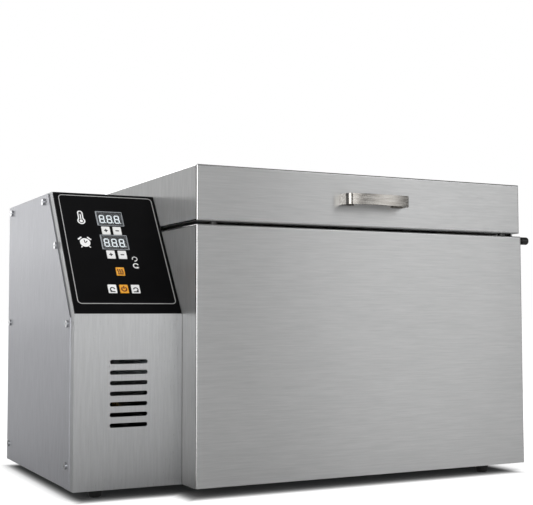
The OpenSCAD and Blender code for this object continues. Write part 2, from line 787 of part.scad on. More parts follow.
module motor_bracket()
  color("lightgray")
  difference() {
    translate([0, axis_y, axis_z - 42]) linear_extrude(84) {
      translate([motor_x, -38]) square([motor_bracket_t, 76]);
      for (side = [0, 1]) mirror([0, side]) {
        translate([motor_x, 36]) square([inner_x0 - motor_x, motor_bracket_t]);
        translate([inner_x0 - motor_bracket_t, 36]) square([motor_bracket_t, 16]);
      }
    }
    at_axis() rod(motor_x - eps, motor_x + 3, 9.5);
    for (side = [-1, 1]) at_axis() translate([0, 0, side * ear_z])
      rod(motor_x - eps, motor_x + 3, screw_hole_r);
    bracket_screw_spots() rod(inner_x0 - motor_bracket_t - eps, inner_x0 + eps, screw_hole_r);
  }

module gearbox()
  color("darkgray")
  at_axis() difference() {
    union() {
      rod(motor_x - gearbox_len, motor_x, gearbox_r);
      for (side = [-1, 1]) translate([0, 0, side * ear_z]) rod(motor_x - 4, motor_x, 6);
      slab([motor_x - 4, -6, -ear_z], [motor_x, 6, ear_z]);
      rod(motor_x, motor_x + 4, 9.2);
    }
    rod(motor_x - 12, motor_x + 5, output_r + shaft_gap);
    for (side = [-1, 1]) translate([0, 0, side * ear_z]) rod(motor_x - 5, motor_x + eps, screw_hole_r);
  }

module motor_can()
  color("silver")
  at_axis() {
    turned_x() difference() {
      soft_rect([0, motor_x - gearbox_len - can_len], [can_r, motor_x - gearbox_len], 3, [0, 1, 0, 0]);
      translate([can_r - 2, motor_x - gearbox_len - 6]) square([3, 1.5]);
    }
    rod(motor_x - gearbox_len - can_len - 2, motor_x - gearbox_len - can_len + eps, 8);
    slab([motor_x - 50, 20, -12], [motor_x - 30, 35, 12]);
  }

module motor_screws()
  color("lightgray") {
    for (side = [-1, 1]) at_axis() translate([motor_x + motor_bracket_t, 0, side * ear_z])
      mirror([1, 0, 0]) side_screw(8);
    bracket_screw_spots() translate([inner_x0 - motor_bracket_t, 0, 0])
      side_screw(inner_x1 - inner_x0 + motor_bracket_t + box_gap + sheet);
  }

module motor_capacitor()
  color("ivory")
  translate([-114, 66, floor_top]) {
    cube([38, 18, 28]);
    translate([-4, 6, 0]) cube([46, 6, 3]);
    for (x = [10, 28]) translate([x, 6, 28]) cube([1, 6, 7]);
  }

// Flanged bush that carries the drive shaft through the left walls
module drive_bearing()
  color("goldenrod")
  at_axis() difference() {
    union() {
      rod(inner_x0 - 5, inner_x0, 20);
      rod(inner_x0, chamber_x0 + 1, bearing_r);
      rod(inner_x0 - 9, inner_x0 - 5, 11);
    }
    rod(inner_x0 - 10, chamber_x0 + 2, shaft_r + shaft_gap);
  }

module drive_shaft()
  color("lightgray")
  at_axis() {
    rod(-32, fork_x0, shaft_r);
    rod(motor_x - 11, -33, output_r);
    difference() {
      rod(fork_x0, fork_x1, 16);
      slab([fork_x0 + 1.6, -tongue_t / 2 - 0.25, -20], [fork_x1 + eps, tongue_t / 2 + 0.25, 20]);
    }
  }

module shaft_coupling()
  color("dimgray")
  at_axis() difference() {
    rod(-45, -19, 11);
    rod(-46, -32, output_r + 0.02);
    rod(-33, -18, shaft_r + 0.02);
    for (x = [-39, -25]) translate([x, 0, 0]) cylinder(r = 2, h = 12);
  }

// Drum: shell with two beads, pressed ends, flights, hatch and its rails
module drum_shell()
  color("lightgray")
  at_axis() difference() {
    union() {
      turned_x() band(drum_r - drum_t, drum_r, drum_x0, drum_x1);
      for (x = bead_x) turned_x() intersection() {
        translate([drum_r - 0.6, x]) circle(bead_r);
        band(drum_r - 0.6, drum_r + bead_r + eps, x - bead_r - eps, x + bead_r + eps);
      }
    }
    for (x = bead_x) turned_x() translate([drum_r - drum_t - 0.6, x]) circle(bead_r - 0.4);
    arc_x(-mouth_half, mouth_half) band(drum_r - 5, drum_r + 5, mouth_x0, mouth_x1);
  }

// Pressed end, turned about X: face at x, its rim runs from x in direction dir
module drum_head(x, dir)
  difference() {
    turned_x() {
      band(0, drum_r - drum_t - 0.05, min(x, x + dir * head_t), max(x, x + dir * head_t));
      band(drum_r - drum_t - 1.2, drum_r - drum_t - 0.05, min(x, x + dir * 12), max(x, x + dir * 12));
    }
    for (ring = [[44, 10, 4], [66, 16, 5], [88, 24, 5]], i = [0 : ring[1] - 1])
      rotate([360 * (i + 0.5) / ring[1], 0, 0]) translate([0, 0, ring[0]]) rod(x - 3, x + 3, ring[2]);
  }

module drum_drive_end()
  color("gray")
  at_axis() {
    drum_head(drum_x0 + head_inset, 1);
    rod(drum_x0 - 2, drum_x0 + head_inset, hub_r);
    rod(30, drum_x0 - 2, 14);
    intersection() {
      slab([fork_x0 + 2, -tongue_t / 2, -20], [30, tongue_t / 2, 20]);
      rod(fork_x0, 32, 14);
    }
  }

module drum_tail_end()
  color("gray")
  at_axis() {
    drum_head(drum_x1 - head_inset, -1);
    rod(drum_x1 - head_inset, drum_x1 + 2, hub_r);
    rod(drum_x1 + 2, drum_x1 + 20, journal_r);
    rod(drum_x1 + 20, drum_x1 + 22, journal_r - 1.5);
  }

// Flight in end view: a web, its foot against the shell and its bent tip
module flight_section() {
  wall_r = drum_r - drum_t;
  tip_r = wall_r - flight_reach;
  translate([-flight_t / 2, tip_r]) square([flight_t, flight_reach - 0.4]);
  translate([-8, tip_r - flight_t]) square([8 + flight_t / 2, flight_t]);
  intersection() {
    difference() {
      circle(wall_r);
      circle(wall_r - flight_t);
    }
    translate([-flight_t / 2, wall_r - 4]) square([10, 6]);
  }
}

module drum_flights()
  color("lightgray")
  for (i = [0 : flight_count - 1])
    at_axis() rotate([-180 - (i - (flight_count - 1) / 2) * flight_step, 0, 0])
      translate([drum_x0 + 20, 0, 0]) rotate([90, 0, 90]) linear_extrude(drum_len - 40) flight_section();

// Rails: each is a groove under a lip, closed by a stop at both ends
module hatch_rails()
  color("gray")
  at_axis() for (side = [0, 1]) translate([side * (hatch_x0 + hatch_x1), 0, 0]) mirror([side, 0, 0])
    difference() {
      arc_x(-hatch_half - 3, hatch_half + hatch_swing + 3) band(drum_r, rail_r, hatch_x0 - 7, hatch_x0 + 5);
      arc_x(-hatch_half - 1.5, hatch_half + hatch_swing + 1.5)
        band(drum_r - eps, hatch_r1 + 0.3, hatch_x0 - 0.4, hatch_x0 + 6);
    }

module drum_hatch()
  color("silver")
  at_axis() {
    arc_x(-hatch_half, hatch_half) band(hatch_r0, hatch_r1, hatch_x0, hatch_x1);
    rotate([-pull_a, 0, 0]) translate([pull_x0, 0, 0]) rotate([90, 0, 90]) linear_extrude(pull_x1 - pull_x0)
      polygon([
        [0, hatch_r1 - 0.4], [0, pull_r], [10, pull_r], [10, pull_r - plate_t],
        [plate_t, pull_r - plate_t], [plate_t, hatch_r1 - 0.4]
      ]);
  }

// Open-topped cradle for the drum's plain journal
module tail_bearing()
  color("goldenrod")
  translate([0, axis_y, axis_z]) difference() {
    union() {
      translate([chamber_x1 - 3, 0, 0]) rotate([90, 0, 90]) linear_extrude(3)
        soft_rect([-26, -36], [26, 12], 4);
      translate([drum_x1 + 4, 0, 0]) rotate([90, 0, 90]) linear_extrude(chamber_x1 - drum_x1 - 5) {
        circle(14);
        translate([-14, 0]) square([28, 10]);
      }
      slab([drum_x1 + 10, -3, -34], [chamber_x1 - 1, 3, -12]);
    }
    rod(drum_x1 - eps, chamber_x1 - 3, journal_r + journal_gap);
    slab([drum_x1 - eps, -journal_r - journal_gap, 0], [chamber_x1 - 3, journal_r + journal_gap, 20]);
    slab([chamber_x1 - 4, -journal_r - journal_gap, 0], [chamber_x1 + eps, journal_r + journal_gap, 20]);
  }

// Two bent heater tubes, each with two legs and their terminal ends
module heater_tubes()
  color("dimgray")
  for (side = [-1, 1]) at_axis() rotate([side * heater_mid, 0, 0]) {
    half = heater_ring * sin(heater_spread);
    translate([0, 0, -heater_ring * cos(heater_spread)]) {
      for (y = [-half, half]) translate([0, y, 0]) {
        rod(-14, heater_bend_x, heater_r);
        rod(-20, -14, heater_r - 0.6);
        rod(-30, -20, 1.5);
      }
      translate([heater_bend_x, 0, 0]) rotate([0, 0, -90])
        rotate_extrude(angle = 180) translate([half, 0]) circle(heater_r);
    }
  }

module gland(bore, r) {
  difference() {
    union() {
      rod(inner_x0 - 8, chamber_x0 + 5, r);
      rod(inner_x0 - 4, inner_x0, r + 3, 6);
    }
    rod(inner_x0 - 9, chamber_x0 + 6, bore);
  }
  difference() {
    rod(chamber_x0, chamber_x0 + 4, r + 3, 6);
    rod(chamber_x0 - eps, chamber_x0 + 5, r + 0.03);
  }
}

module heater_fittings()
  color("silver")
  for (a = heater_spots) at_axis() rotate([-a, 0, 0]) translate([0, 0, -heater_ring])
    gland(heater_r + 0.03, gland_r);

module temperature_probe()
  color("lightgray")
  at_axis() rotate([-probe_angle, 0, 0]) translate([0, 0, -probe_ring]) {
    rod(-22, 70, probe_r);
    gland(probe_r + 0.03, probe_gland_r);
  }

// Lid
module lid_shell()
  color("silver")
  difference() {
    folded_block([lid_x0, 0, lid_z0], [lid_x1, body_d, lid_z1], fold_r, 1, 1);
    slab([lid_x0 + sheet, sheet, lid_z0 + sheet], [lid_x1 - sheet, body_d - sheet, lid_z1 - sheet]);
    slab([lid_x0 + lid_lip, lid_lip, lid_z0 - eps], [lid_x1 - lid_lip, body_d - lid_lip, lid_z0 + 2]);
    for (side = [-1, 1]) translate([cab_w / 2 + side * handle_screw_x, 0, lid_mid_z])
      rod_y(-eps, 3, screw_hole_r);
    for (x = hinge_x, s = leaf_screw_x) translate([x - hinge_len / 2 + s, 0, hinge_z + leaf_screw_z])
      rod_y(body_d - 3, body_d + eps, screw_hole_r);
    for (p = bumper_spots) translate([p[0], p[1], lid_z0 - eps]) cylinder(r = 2.05, h = 3);
    slab([keeper_x0 - 0.1, keeper_y0 - 0.1, lid_z0 - eps],
      [keeper_x1 + 0.1, keeper_y1 + 0.1, pan_z0 + eps]);
  }

module lid_liner()
  color("lightgray")
  difference() {
    union() {
      slab([lid_x0 + 1.4, 1.4, pan_z0], [lid_x1 - 1.4, body_d - 1.4, pan_z0 + sheet]);
      slab([pan_edge_x, pan_edge_y, pan_z0], [cab_w - pan_edge_x, body_d - pan_edge_y, pan_z1]);
    }
    slab([pan_edge_x + sheet, pan_edge_y + sheet, pan_z0 - eps],
      [cab_w - pan_edge_x - sheet, body_d - pan_edge_y - sheet, pan_z1 - sheet]);
    for (p = bumper_spots) translate([p[0], p[1], pan_z0 - eps]) cylinder(r = 4.2, h = 4);
    slab([keeper_x0 - 6, keeper_y0 - keeper_slack, pan_z0 - eps],
      [keeper_x1 + eps, keeper_y1 + keeper_slack, pan_z0 + 3]);
  }

module lid_insulation()
  color("beige")
  slab([lid_x0 + 6, 14, pan_z1 + wool_gap], [lid_x1 - 6, body_d - 14, lid_z1 - sheet - wool_gap]);

// Plan view of the bowed strap with its two bends, drawn in by inset
module strap_face(inset)
  difference() {
    intersection() {
      translate([0, bow_y]) circle(bow_r - inset);
      translate([-handle_w / 2 + inset, -handle_out - eps])
        square([handle_w - 2 * inset, handle_out + eps - inset]);
    }
    for (side = [0, 1]) mirror([side, 0]) difference() {
      polygon([[bend_x, bend_y], [bend_x + bend_reach * bend_x, bend_y - bend_reach * (bow_y - bend_y)],
        [handle_w / 2 + 1, bend_y - bend_reach * (bow_y - bend_y)], [handle_w / 2 + 1, bend_y]]);
      translate([bend_x, bend_y]) circle(bend_r - inset + bend_slack);
    }
  }

module lid_handle()
  color("silver")
  translate([cab_w / 2, 0, lid_mid_z - handle_h / 2]) difference() {
    linear_extrude(handle_h) difference() {
      strap_face(0);
      strap_face(handle_t);
      translate([-handle_w / 2 + 18, -handle_t - eps]) square([handle_w - 36, handle_t + 2 * eps]);
    }
    for (side = [-1, 1]) translate([side * handle_screw_x, 0, handle_h / 2])
      rod_y(-handle_t - eps, eps, screw_hole_r);
  }

module lid_screws()
  color("lightgray") {
    for (side = [-1, 1]) translate([cab_w / 2 + side * handle_screw_x, sheet, lid_mid_z])
      back_screw(handle_t + sheet);
    for (x = hinge_x, s = leaf_screw_x)
      translate([x - hinge_len / 2 + s, body_d + leaf_t, hinge_z + leaf_screw_z]) back_screw(5);
  }

module lid_bumpers()
  color("black")
  for (p = bumper_spots) translate([p[0], p[1], 0]) {
    translate([0, 0, cab_top + 0.2]) cylinder(r = 5, h = seam - 0.2);
    translate([0, 0, lid_z0]) cylinder(r = 2, h = 2);
    translate([0, 0, lid_z0 + sheet]) cylinder(r = 3, h = 2);
  }

// Hooked tab that hangs from the lid into the rim's slot, with a square hole for the bolt
module lock_keeper()
  color("lightgray")
  difference() {
    union() {
      slab([keeper_x0, keeper_y0, lock_z - 5], [keeper_x1, keeper_y1, pan_z0]);
      slab([keeper_x0 - 4, keeper_y0, pan_z0], [keeper_x1, keeper_y1, pan_z0 + 2]);
    }
    slab([keeper_x0 - eps, lock_y - keeper_bore, lock_z - keeper_bore],
      [keeper_x1 + eps, lock_y + keeper_bore, lock_z + keeper_bore]);
  }

module lock_bush()
  color("silver")
  translate([0, lock_y, lock_z]) difference() {
    union() {
      rod(cab_w - 7, cab_w - sheet, 3.4);
      rod(cab_w - sheet, cab_w, 2.9);
      rod(cab_w, cab_w + 2, 4);
    }
    rod(cab_w - 8, cab_w + 3, lock_r + 0.05);
  }

module lock_bolt()
  color("silver")
  translate([0, lock_y, lock_z]) rod(lock_tip, knob_bore_x1, lock_r);

module lock_knob()
  color("black")
  translate([0, lock_y, lock_z]) difference() {
    turned_x() soft_rect([0, knob_x0], [knob_r, knob_x1], 1.5, [0, 1, 1, 0]);
    rod(knob_x0 - eps, knob_bore_x1, lock_r);
  }

place() base_plate();
place() feet();
place() foot_screws();
place() cabinet_shell();
place() cabinet_back();
place() panel_screws();
place() chamber_trough();
place() chamber_ends();
place() insulation();
place() hinge_body_leaves();
place() hinge_pins();
place() control_box_wrap();
place() control_box_inner_side();
place() side_cover();
place() control_box_back();
place() mains_inlet();
place() fascia_overlay();
place() display_windows();
place() display_modules();
place() display_digits();
place() control_board();
place() power_board();
place() terminal_block();
place() motor_bracket();
place() gearbox();
place() motor_can();
place() motor_screws();
place() motor_capacitor();
place() drive_bearing();
place() heater_tubes();
place() heater_fittings();
place() temperature_probe();
place() tail_bearing();
place() lock_bush();
place() lid_shell();
place() lid_liner();
place() lid_insulation();
place() lid_handle();
place() lid_screws();
place() lid_bumpers();
place() hinge_lid_leaves();
place() lock_keeper();
place() drum_shell();
place() drum_drive_end();
place() drum_tail_end();
place() drum_flights();
place() hatch_rails();
place() drum_hatch();
place() drive_shaft();
place() shaft_coupling();
place() lock_bolt();
place() lock_knob();
place() key_temp_up();
place() key_temp_down();
place() key_time_up();
place() key_time_down();
place() key_heat();
place() key_reverse();
place() key_motor();
place() key_forward();
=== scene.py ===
"""Countertop electric drum roaster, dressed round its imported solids."""

import math

import bpy
from mathutils import Matrix, Quaternion, Vector


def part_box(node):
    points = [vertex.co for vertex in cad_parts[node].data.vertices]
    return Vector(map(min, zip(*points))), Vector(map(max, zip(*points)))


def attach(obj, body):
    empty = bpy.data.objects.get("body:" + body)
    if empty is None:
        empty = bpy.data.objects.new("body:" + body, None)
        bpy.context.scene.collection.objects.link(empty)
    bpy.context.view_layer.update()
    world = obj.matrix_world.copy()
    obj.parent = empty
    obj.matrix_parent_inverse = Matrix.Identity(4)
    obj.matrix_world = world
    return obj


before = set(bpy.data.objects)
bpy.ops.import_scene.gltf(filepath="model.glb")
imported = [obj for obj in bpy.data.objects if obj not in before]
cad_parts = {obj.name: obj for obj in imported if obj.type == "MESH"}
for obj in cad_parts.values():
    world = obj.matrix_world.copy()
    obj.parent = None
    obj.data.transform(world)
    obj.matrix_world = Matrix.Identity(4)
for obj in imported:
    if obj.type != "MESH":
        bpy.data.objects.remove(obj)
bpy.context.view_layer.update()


# Camera
# The photographer stands in front and to the left, lower than the lid's top, with a long lens.
# Place, aim and lens come from a fit to the corners of the cabinet, the lid and the control box.
PHOTO_WIDTH_PX = 533
FOCAL_PX = 1054.39
SENSOR_MM = 36.0
CAMERA_AT = (-0.63355, -1.2486, 0.2010)
LOOK_ALONG = (0.44907, 0.89152, 0.05942)
CAMERA_ROLL = -0.12

lens = bpy.data.cameras.new("photographer")
lens.sensor_width = SENSOR_MM
lens.lens = FOCAL_PX * SENSOR_MM / PHOTO_WIDTH_PX
camera = bpy.data.objects.new("photographer", lens)
camera.location = CAMERA_AT
camera.rotation_mode = "QUATERNION"
aim = Vector(LOOK_ALONG).to_track_quat("-Z", "Y")
camera.rotation_quaternion = aim @ Quaternion((0, 0, 1), math.radians(CAMERA_ROLL))
bpy.context.scene.collection.objects.link(camera)
bpy.context.scene.camera = camera
bpy.context.scene.view_settings.view_transform = "Standard"


# Studio
# A pale paper floor in a white room. The steel mirrors the room's walls, which are dark at the left
# and partly dark in front. The floor is white clear of the roaster, and keeps the roaster's shadow,
# with a painted shadow close round it: there the paper is painted a darker grey.
def linear(code):
    """Linear colour of an sRGB hex code."""
    out = []
    for i in (1, 3, 5):
        c = int(code[i:i + 2], 16) / 255
        out.append(c / 12.92 if c <= 0.04045 else ((c + 0.055) / 1.055) ** 2.4)
    return (*out, 1.0)


def add(tree, kind, inputs=None, **settings):
    """Adds one node with its settings; inputs are values, or the sockets that feed them.

    A mix node takes its share at 0, two numbers at 2 and 3, two vectors at 4 and 5, and two colours
    at 6 and 7. The mixed number is its output 0, the vector its output 1 and the colour its output 2.
    """
    node = tree.nodes.new(kind)
    for key, value in settings.items():
        setattr(node, key, value)
    for key, value in (inputs or {}).items():
        if isinstance(value, bpy.types.NodeSocket):
            tree.links.new(value, node.inputs[key])
        else:
            node.inputs[key].default_value = value
    return node


def new_material(name):
    """Empty material and its tree of nodes."""
    made = bpy.data.materials.new(name)
    made.use_nodes = True
    made.node_tree.nodes.clear()
    return made, made.node_tree


def by_direction(tree, x, y, levels):
    """Grey level that changes with the compass direction of x and y."""
    front = add(tree, "ShaderNodeMath", {0: y, 1: -1.0}, operation="MULTIPLY")
    turn = add(tree, "ShaderNodeMath", {0: x, 1: front.outputs[0]}, operation="ARCTAN2")
    share = add(tree, "ShaderNodeMapRange", {
        "Value": turn.outputs[0], "From Min": -math.pi, "From Max": math.pi})
    ramp = add(tree, "ShaderNodeValToRGB", {"Fac": share.outputs[0]})
    points = ramp.color_ramp.elements
    for i, (degrees, level) in enumerate(levels):
        at = (degrees + 180) / 360
        point = points[0] if i == 0 else points[-1] if at == 1.0 else points.new(at)
        point.color = (level, level, level, 1.0)
    return ramp.outputs["Color"]


# Level of the walls by compass direction, in degrees from the front towards the right. The narrow
# bright one at 14 to 19 degrees lights the left end of the lid's handle.
WALLS = (
    (-180, 0.82), (-170, 0.82), (-164, 0.58), (-156, 0.05), (-60, 0.04), (-54, 0.8), (-46, 1.0),
    (-26, 1.0), (-16, 0.1), (12.5, 0.05), (14.5, 0.9), (18.5, 1.0), (19.5, 0.04), (24.5, 0.04),
    (29, 0.29), (34, 0.45), (42.5, 0.43), (45.5, 0.14), (48, 0.04), (70, 0.04), (80, 0.16),
    (130, 0.16), (150, 0.3), (165, 0.6), (180, 0.7))
WALL_GAIN = 3.5
# Heights in the room are sines of the angle above the horizon
FOOT_HEIGHT = -0.02
FOOT_SHARE = 0.6
FULL_HEIGHT = 0.07
FULL_SHARE = 1.1
WALL_TOP = 0.3
CEILING_HEIGHT = 0.8
CEILING = 0.14
OVERHEAD_HEIGHT = 0.86
ZENITH_HEIGHT = 0.97
OVERHEAD = 0.7
AMBIENT = 0.66             # what the room gives to all that doesn't mirror it

world = bpy.data.worlds.new("white_room")
bpy.context.scene.world = world
world.use_nodes = True
tree = world.node_tree
tree.nodes.clear()
rays = add(tree, "ShaderNodeLightPath")
toward = add(tree, "ShaderNodeTexCoord")
xyz = add(tree, "ShaderNodeSeparateXYZ", {0: toward.outputs["Generated"]})
wall_level = by_direction(tree, xyz.outputs["X"], xyz.outputs["Y"], WALLS)
walls = add(tree, "ShaderNodeMath", {0: wall_level, 1: WALL_GAIN}, operation="MULTIPLY")
rise = add(tree, "ShaderNodeMapRange", {
    "Value": xyz.outputs["Z"], "From Min": FOOT_HEIGHT, "From Max": FULL_HEIGHT,
    "To Min": FOOT_SHARE, "To Max": FULL_SHARE})
walls = add(tree, "ShaderNodeMath", {0: walls.outputs[0], 1: rise.outputs[0]}, operation="MULTIPLY")
above = add(tree, "ShaderNodeMapRange", {
    "Value": xyz.outputs["Z"], "From Min": WALL_TOP, "From Max": CEILING_HEIGHT},
    interpolation_type="SMOOTHSTEP")
overhead = add(tree, "ShaderNodeMapRange", {
    "Value": xyz.outputs["Z"], "From Min": OVERHEAD_HEIGHT, "From Max": ZENITH_HEIGHT,
    "To Min": CEILING, "To Max": OVERHEAD})
mirrored = add(tree, "ShaderNodeMix", {0: above.outputs[0], 2: walls.outputs[0], 3: overhead.outputs[0]})
unseen = add(tree, "ShaderNodeMix", {0: rays.outputs["Is Glossy Ray"], 2: AMBIENT, 3: mirrored.outputs[0]})
seen = add(tree, "ShaderNodeMath", {
    0: rays.outputs["Is Camera Ray"], 1: rays.outputs["Is Transmission Ray"]}, operation="MAXIMUM")
level = add(tree, "ShaderNodeMix", {0: seen.outputs[0], 2: unseen.outputs[0], 3: 1.0})
room = add(tree, "ShaderNodeBackground", {"Color": (1, 1, 1, 1), "Strength": level.outputs[0]})
add(tree, "ShaderNodeOutputWorld", {"Surface": room.outputs[0]})

FLOOR_SIZE = 60.0
FLECK_MM = 3.333           # the real paper's fibres are 0.05 mm, too fine to show
# Level of the mirrored floor, by direction from the control box's front left corner
FLOOR_SIDES = (
    (-180, 0.36), (-165, 0.38), (-150, 0.34), (-120, 0.12), (-62, 0.1), (-54, 0.9), (-26, 1.0),
    (-16, 0.36), (20, 0.38), (28, 0.27), (60, 0.28), (180, 0.3))
FLOOR_GAIN = 3.0
MIRROR_FLOOR = 0.45        # the mirrored floor's brightness, a metre from the roaster
MIRROR_POWER = 0.2         # and how it grows with the distance
NEAREST = 0.0005           # shorter distances count as this one
FLOOR_GLOW = 0.6           # lifts the floor to white for the camera
GLOW_REACH = 0.03          # from this far off on
PAINTED_SHADOW_REACH = 0.02         # the painted contact shadow, a darker grey painted into the paper, fades out over this distance
SHADOW_INSET = 0.028       # it starts this far inside the cabinet's right side, half of it at the left

half = FLOOR_SIZE / 2
floor_mesh = bpy.data.meshes.new("floor")
floor_corners = [(-half, -half, 0), (half, -half, 0), (half, half, 0), (-half, half, 0)]
floor_mesh.from_pydata(floor_corners, [], [(0, 1, 2, 3)])
floor = bpy.data.objects.new("floor", floor_mesh)
bpy.context.scene.collection.objects.link(floor)

paper, tree = new_material("paper_floor")
rays = add(tree, "ShaderNodeLightPath")
spot = add(tree, "ShaderNodeNewGeometry")
xyz = add(tree, "ShaderNodeSeparateXYZ", {0: spot.outputs["Position"]})
shell_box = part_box("cabinet_shell")
wrap_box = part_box("control_box_wrap")
footprints = (
    (shell_box[0].x, shell_box[1].x - SHADOW_INSET, shell_box[0].y),
    (wrap_box[0].x + SHADOW_INSET / 2, wrap_box[1].x, wrap_box[0].y))
clear = []
for left, right, front in footprints:
    reach = []
    for axis, low, high in ((0, left, right), (1, front, shell_box[1].y)):
        off = add(tree, "ShaderNodeMath", {0: xyz.outputs[axis], 1: (low + high) / 2}, operation="SUBTRACT")
        far = add(tree, "ShaderNodeMath", {0: off.outputs[0]}, operation="ABSOLUTE")
        reach.append(add(tree, "ShaderNodeMath", {0: far.outputs[0], 1: (high - low) / 2},
                         operation="SUBTRACT"))
    clear.append(add(tree, "ShaderNodeMath", {0: reach[0].outputs[0], 1: reach[1].outputs[0]},
                     operation="MAXIMUM"))
clear = add(tree, "ShaderNodeMath", {0: clear[0].outputs[0], 1: clear[1].outputs[0]},
            operation="MINIMUM").outputs[0]
camera_glow = add(tree, "ShaderNodeMapRange", {
    "Value": clear, "From Min": 0.0, "From Max": GLOW_REACH, "To Max": FLOOR_GLOW},
    interpolation_type="SMOOTHSTEP")
outside = add(tree, "ShaderNodeMath", {0: clear, 1: NEAREST}, operation="MAXIMUM")
fade = add(tree, "ShaderNodeMath", {0: outside.outputs[0], 1: MIRROR_POWER}, operation="POWER")
fade = add(tree, "ShaderNodeMath", {0: fade.outputs[0], 1: MIRROR_FLOOR}, operation="MULTIPLY")
from_corner = []
for axis in (0, 1):
    from_corner.append(add(tree, "ShaderNodeMath", {0: xyz.outputs[axis], 1: wrap_box[0][axis]},
                           operation="SUBTRACT").outputs[0])
side_level = by_direction(tree, *from_corner, FLOOR_SIDES)
sides = add(tree, "ShaderNodeMath", {0: side_level, 1: FLOOR_GAIN}, operation="MULTIPLY")
fade = add(tree, "ShaderNodeMath", {0: fade.outputs[0], 1: sides.outputs[0]}, operation="MULTIPLY")
glow = add(tree, "ShaderNodeMath", {0: fade.outputs[0], 1: rays.outputs["Is Glossy Ray"]},
           operation="MULTIPLY")
glow = add(tree, "ShaderNodeMix", {
    0: rays.outputs["Is Camera Ray"], 2: glow.outputs[0], 3: camera_glow.outputs[0]})
fleck = add(tree, "ShaderNodeTexNoise", {
    "Vector": spot.outputs["Position"], "Scale": 1000 / FLECK_MM, "Detail": 3.0})
tone = add(tree, "ShaderNodeMix", {0: fleck.outputs[0], 6: linear("#d8d8d8"), 7: linear("#e2e2e2")},
           data_type="RGBA")
# Painted shadow: close round the roaster the paper's tone is painted a darker grey
near = add(tree, "ShaderNodeMapRange", {"Value": clear, "From Min": 0.0, "From Max": PAINTED_SHADOW_REACH},
           interpolation_type="SMOOTHSTEP")
tone = add(tree, "ShaderNodeMix", {0: near.outputs[0], 6: linear("#8c8c8c"), 7: tone.outputs[2]},
           data_type="RGBA")
tone = add(tree, "ShaderNodeMix", {
    0: rays.outputs["Is Glossy Ray"], 6: tone.outputs[2], 7: linear("#5c5c5c")}, data_type="RGBA")
matte = add(tree, "ShaderNodeBsdfDiffuse", {"Color": tone.outputs[2], "Roughness": 0.5})
light = add(tree, "ShaderNodeEmission", {"Color": (1, 1, 1, 1), "Strength": glow.outputs[0]})
both = add(tree, "ShaderNodeAddShader", {0: matte.outputs[0], 1: light.outputs[0]})
add(tree, "ShaderNodeOutputMaterial", {"Surface": both.outputs[0]})
floor_mesh.materials.append(paper)


def soft_box(name, place, aim_at, size, watts):
    """Soft box that points at a spot and doesn't show in the steel."""
    data = bpy.data.lights.new(name, "AREA")
    data.shape = "RECTANGLE"
    data.size, data.size_y = size
    data.energy = watts
    box = bpy.data.objects.new(name, data)
    box.location = place
    box.rotation_mode = "QUATERNION"
    box.rotation_quaternion = (Vector(aim_at) - Vector(place)).to_track_quat("-Z", "Y")
    box.visible_glossy = False
    bpy.context.scene.collection.objects.link(box)


soft_box("top_soft_box", (-0.3, -0.5, 2.2), (0, 0, 0.2), (2.4, 1.8), 22)
soft_box("right_soft_box", (1.8, -1.6, 1.0), (0, 0, 0.15), (1.4, 1.4), 9)


# Folded sheets
# Casings of 1 mm stainless sheet, belt-ground before they are cut, then folded to 2 mm corners,
# which the press polishes. The belt leaves long fine lines: level across the fronts of the cabinet
# and the lid, and upright on their sides and on the control box.
GRAIN_LONG_MM = 34.0
GRAIN_WIDE_MM = 1.6        # the real lines are 0.1 mm, too fine to show at this distance
SCRATCH_LONG_MM = 14.0
SCRATCH_WIDE_MM = 0.3      # the real scratches are 0.03 mm
CLOUD_MM = 130.0
CLOUD_SHARE = 0.35
GRAIN_LOW = 0.3            # the lines' noise is cut off under this, and over 1 minus this
SIDES_CRISPER = 0.1        # and this much tighter on left and right faces
GROOVE_MM = 0.02
SIDE_FACE = 0.7            # a face counts as a left, right or top one from here
FOLD_STARTS = 0.99         # largest part of the normal where a fold is fully polished
FOLD_ROUGHNESS = 0.13


def stretch(axis, long_mm, wide_mm):
    """Scale that draws a pattern out along one axis."""
    return [1000 / long_mm if a == axis else 1000 / wide_mm for a in "xyz"]


def unit(axis):
    """Vector of length one along an axis."""
    return [1.0 if a == axis else 0.0 for a in "xyz"]


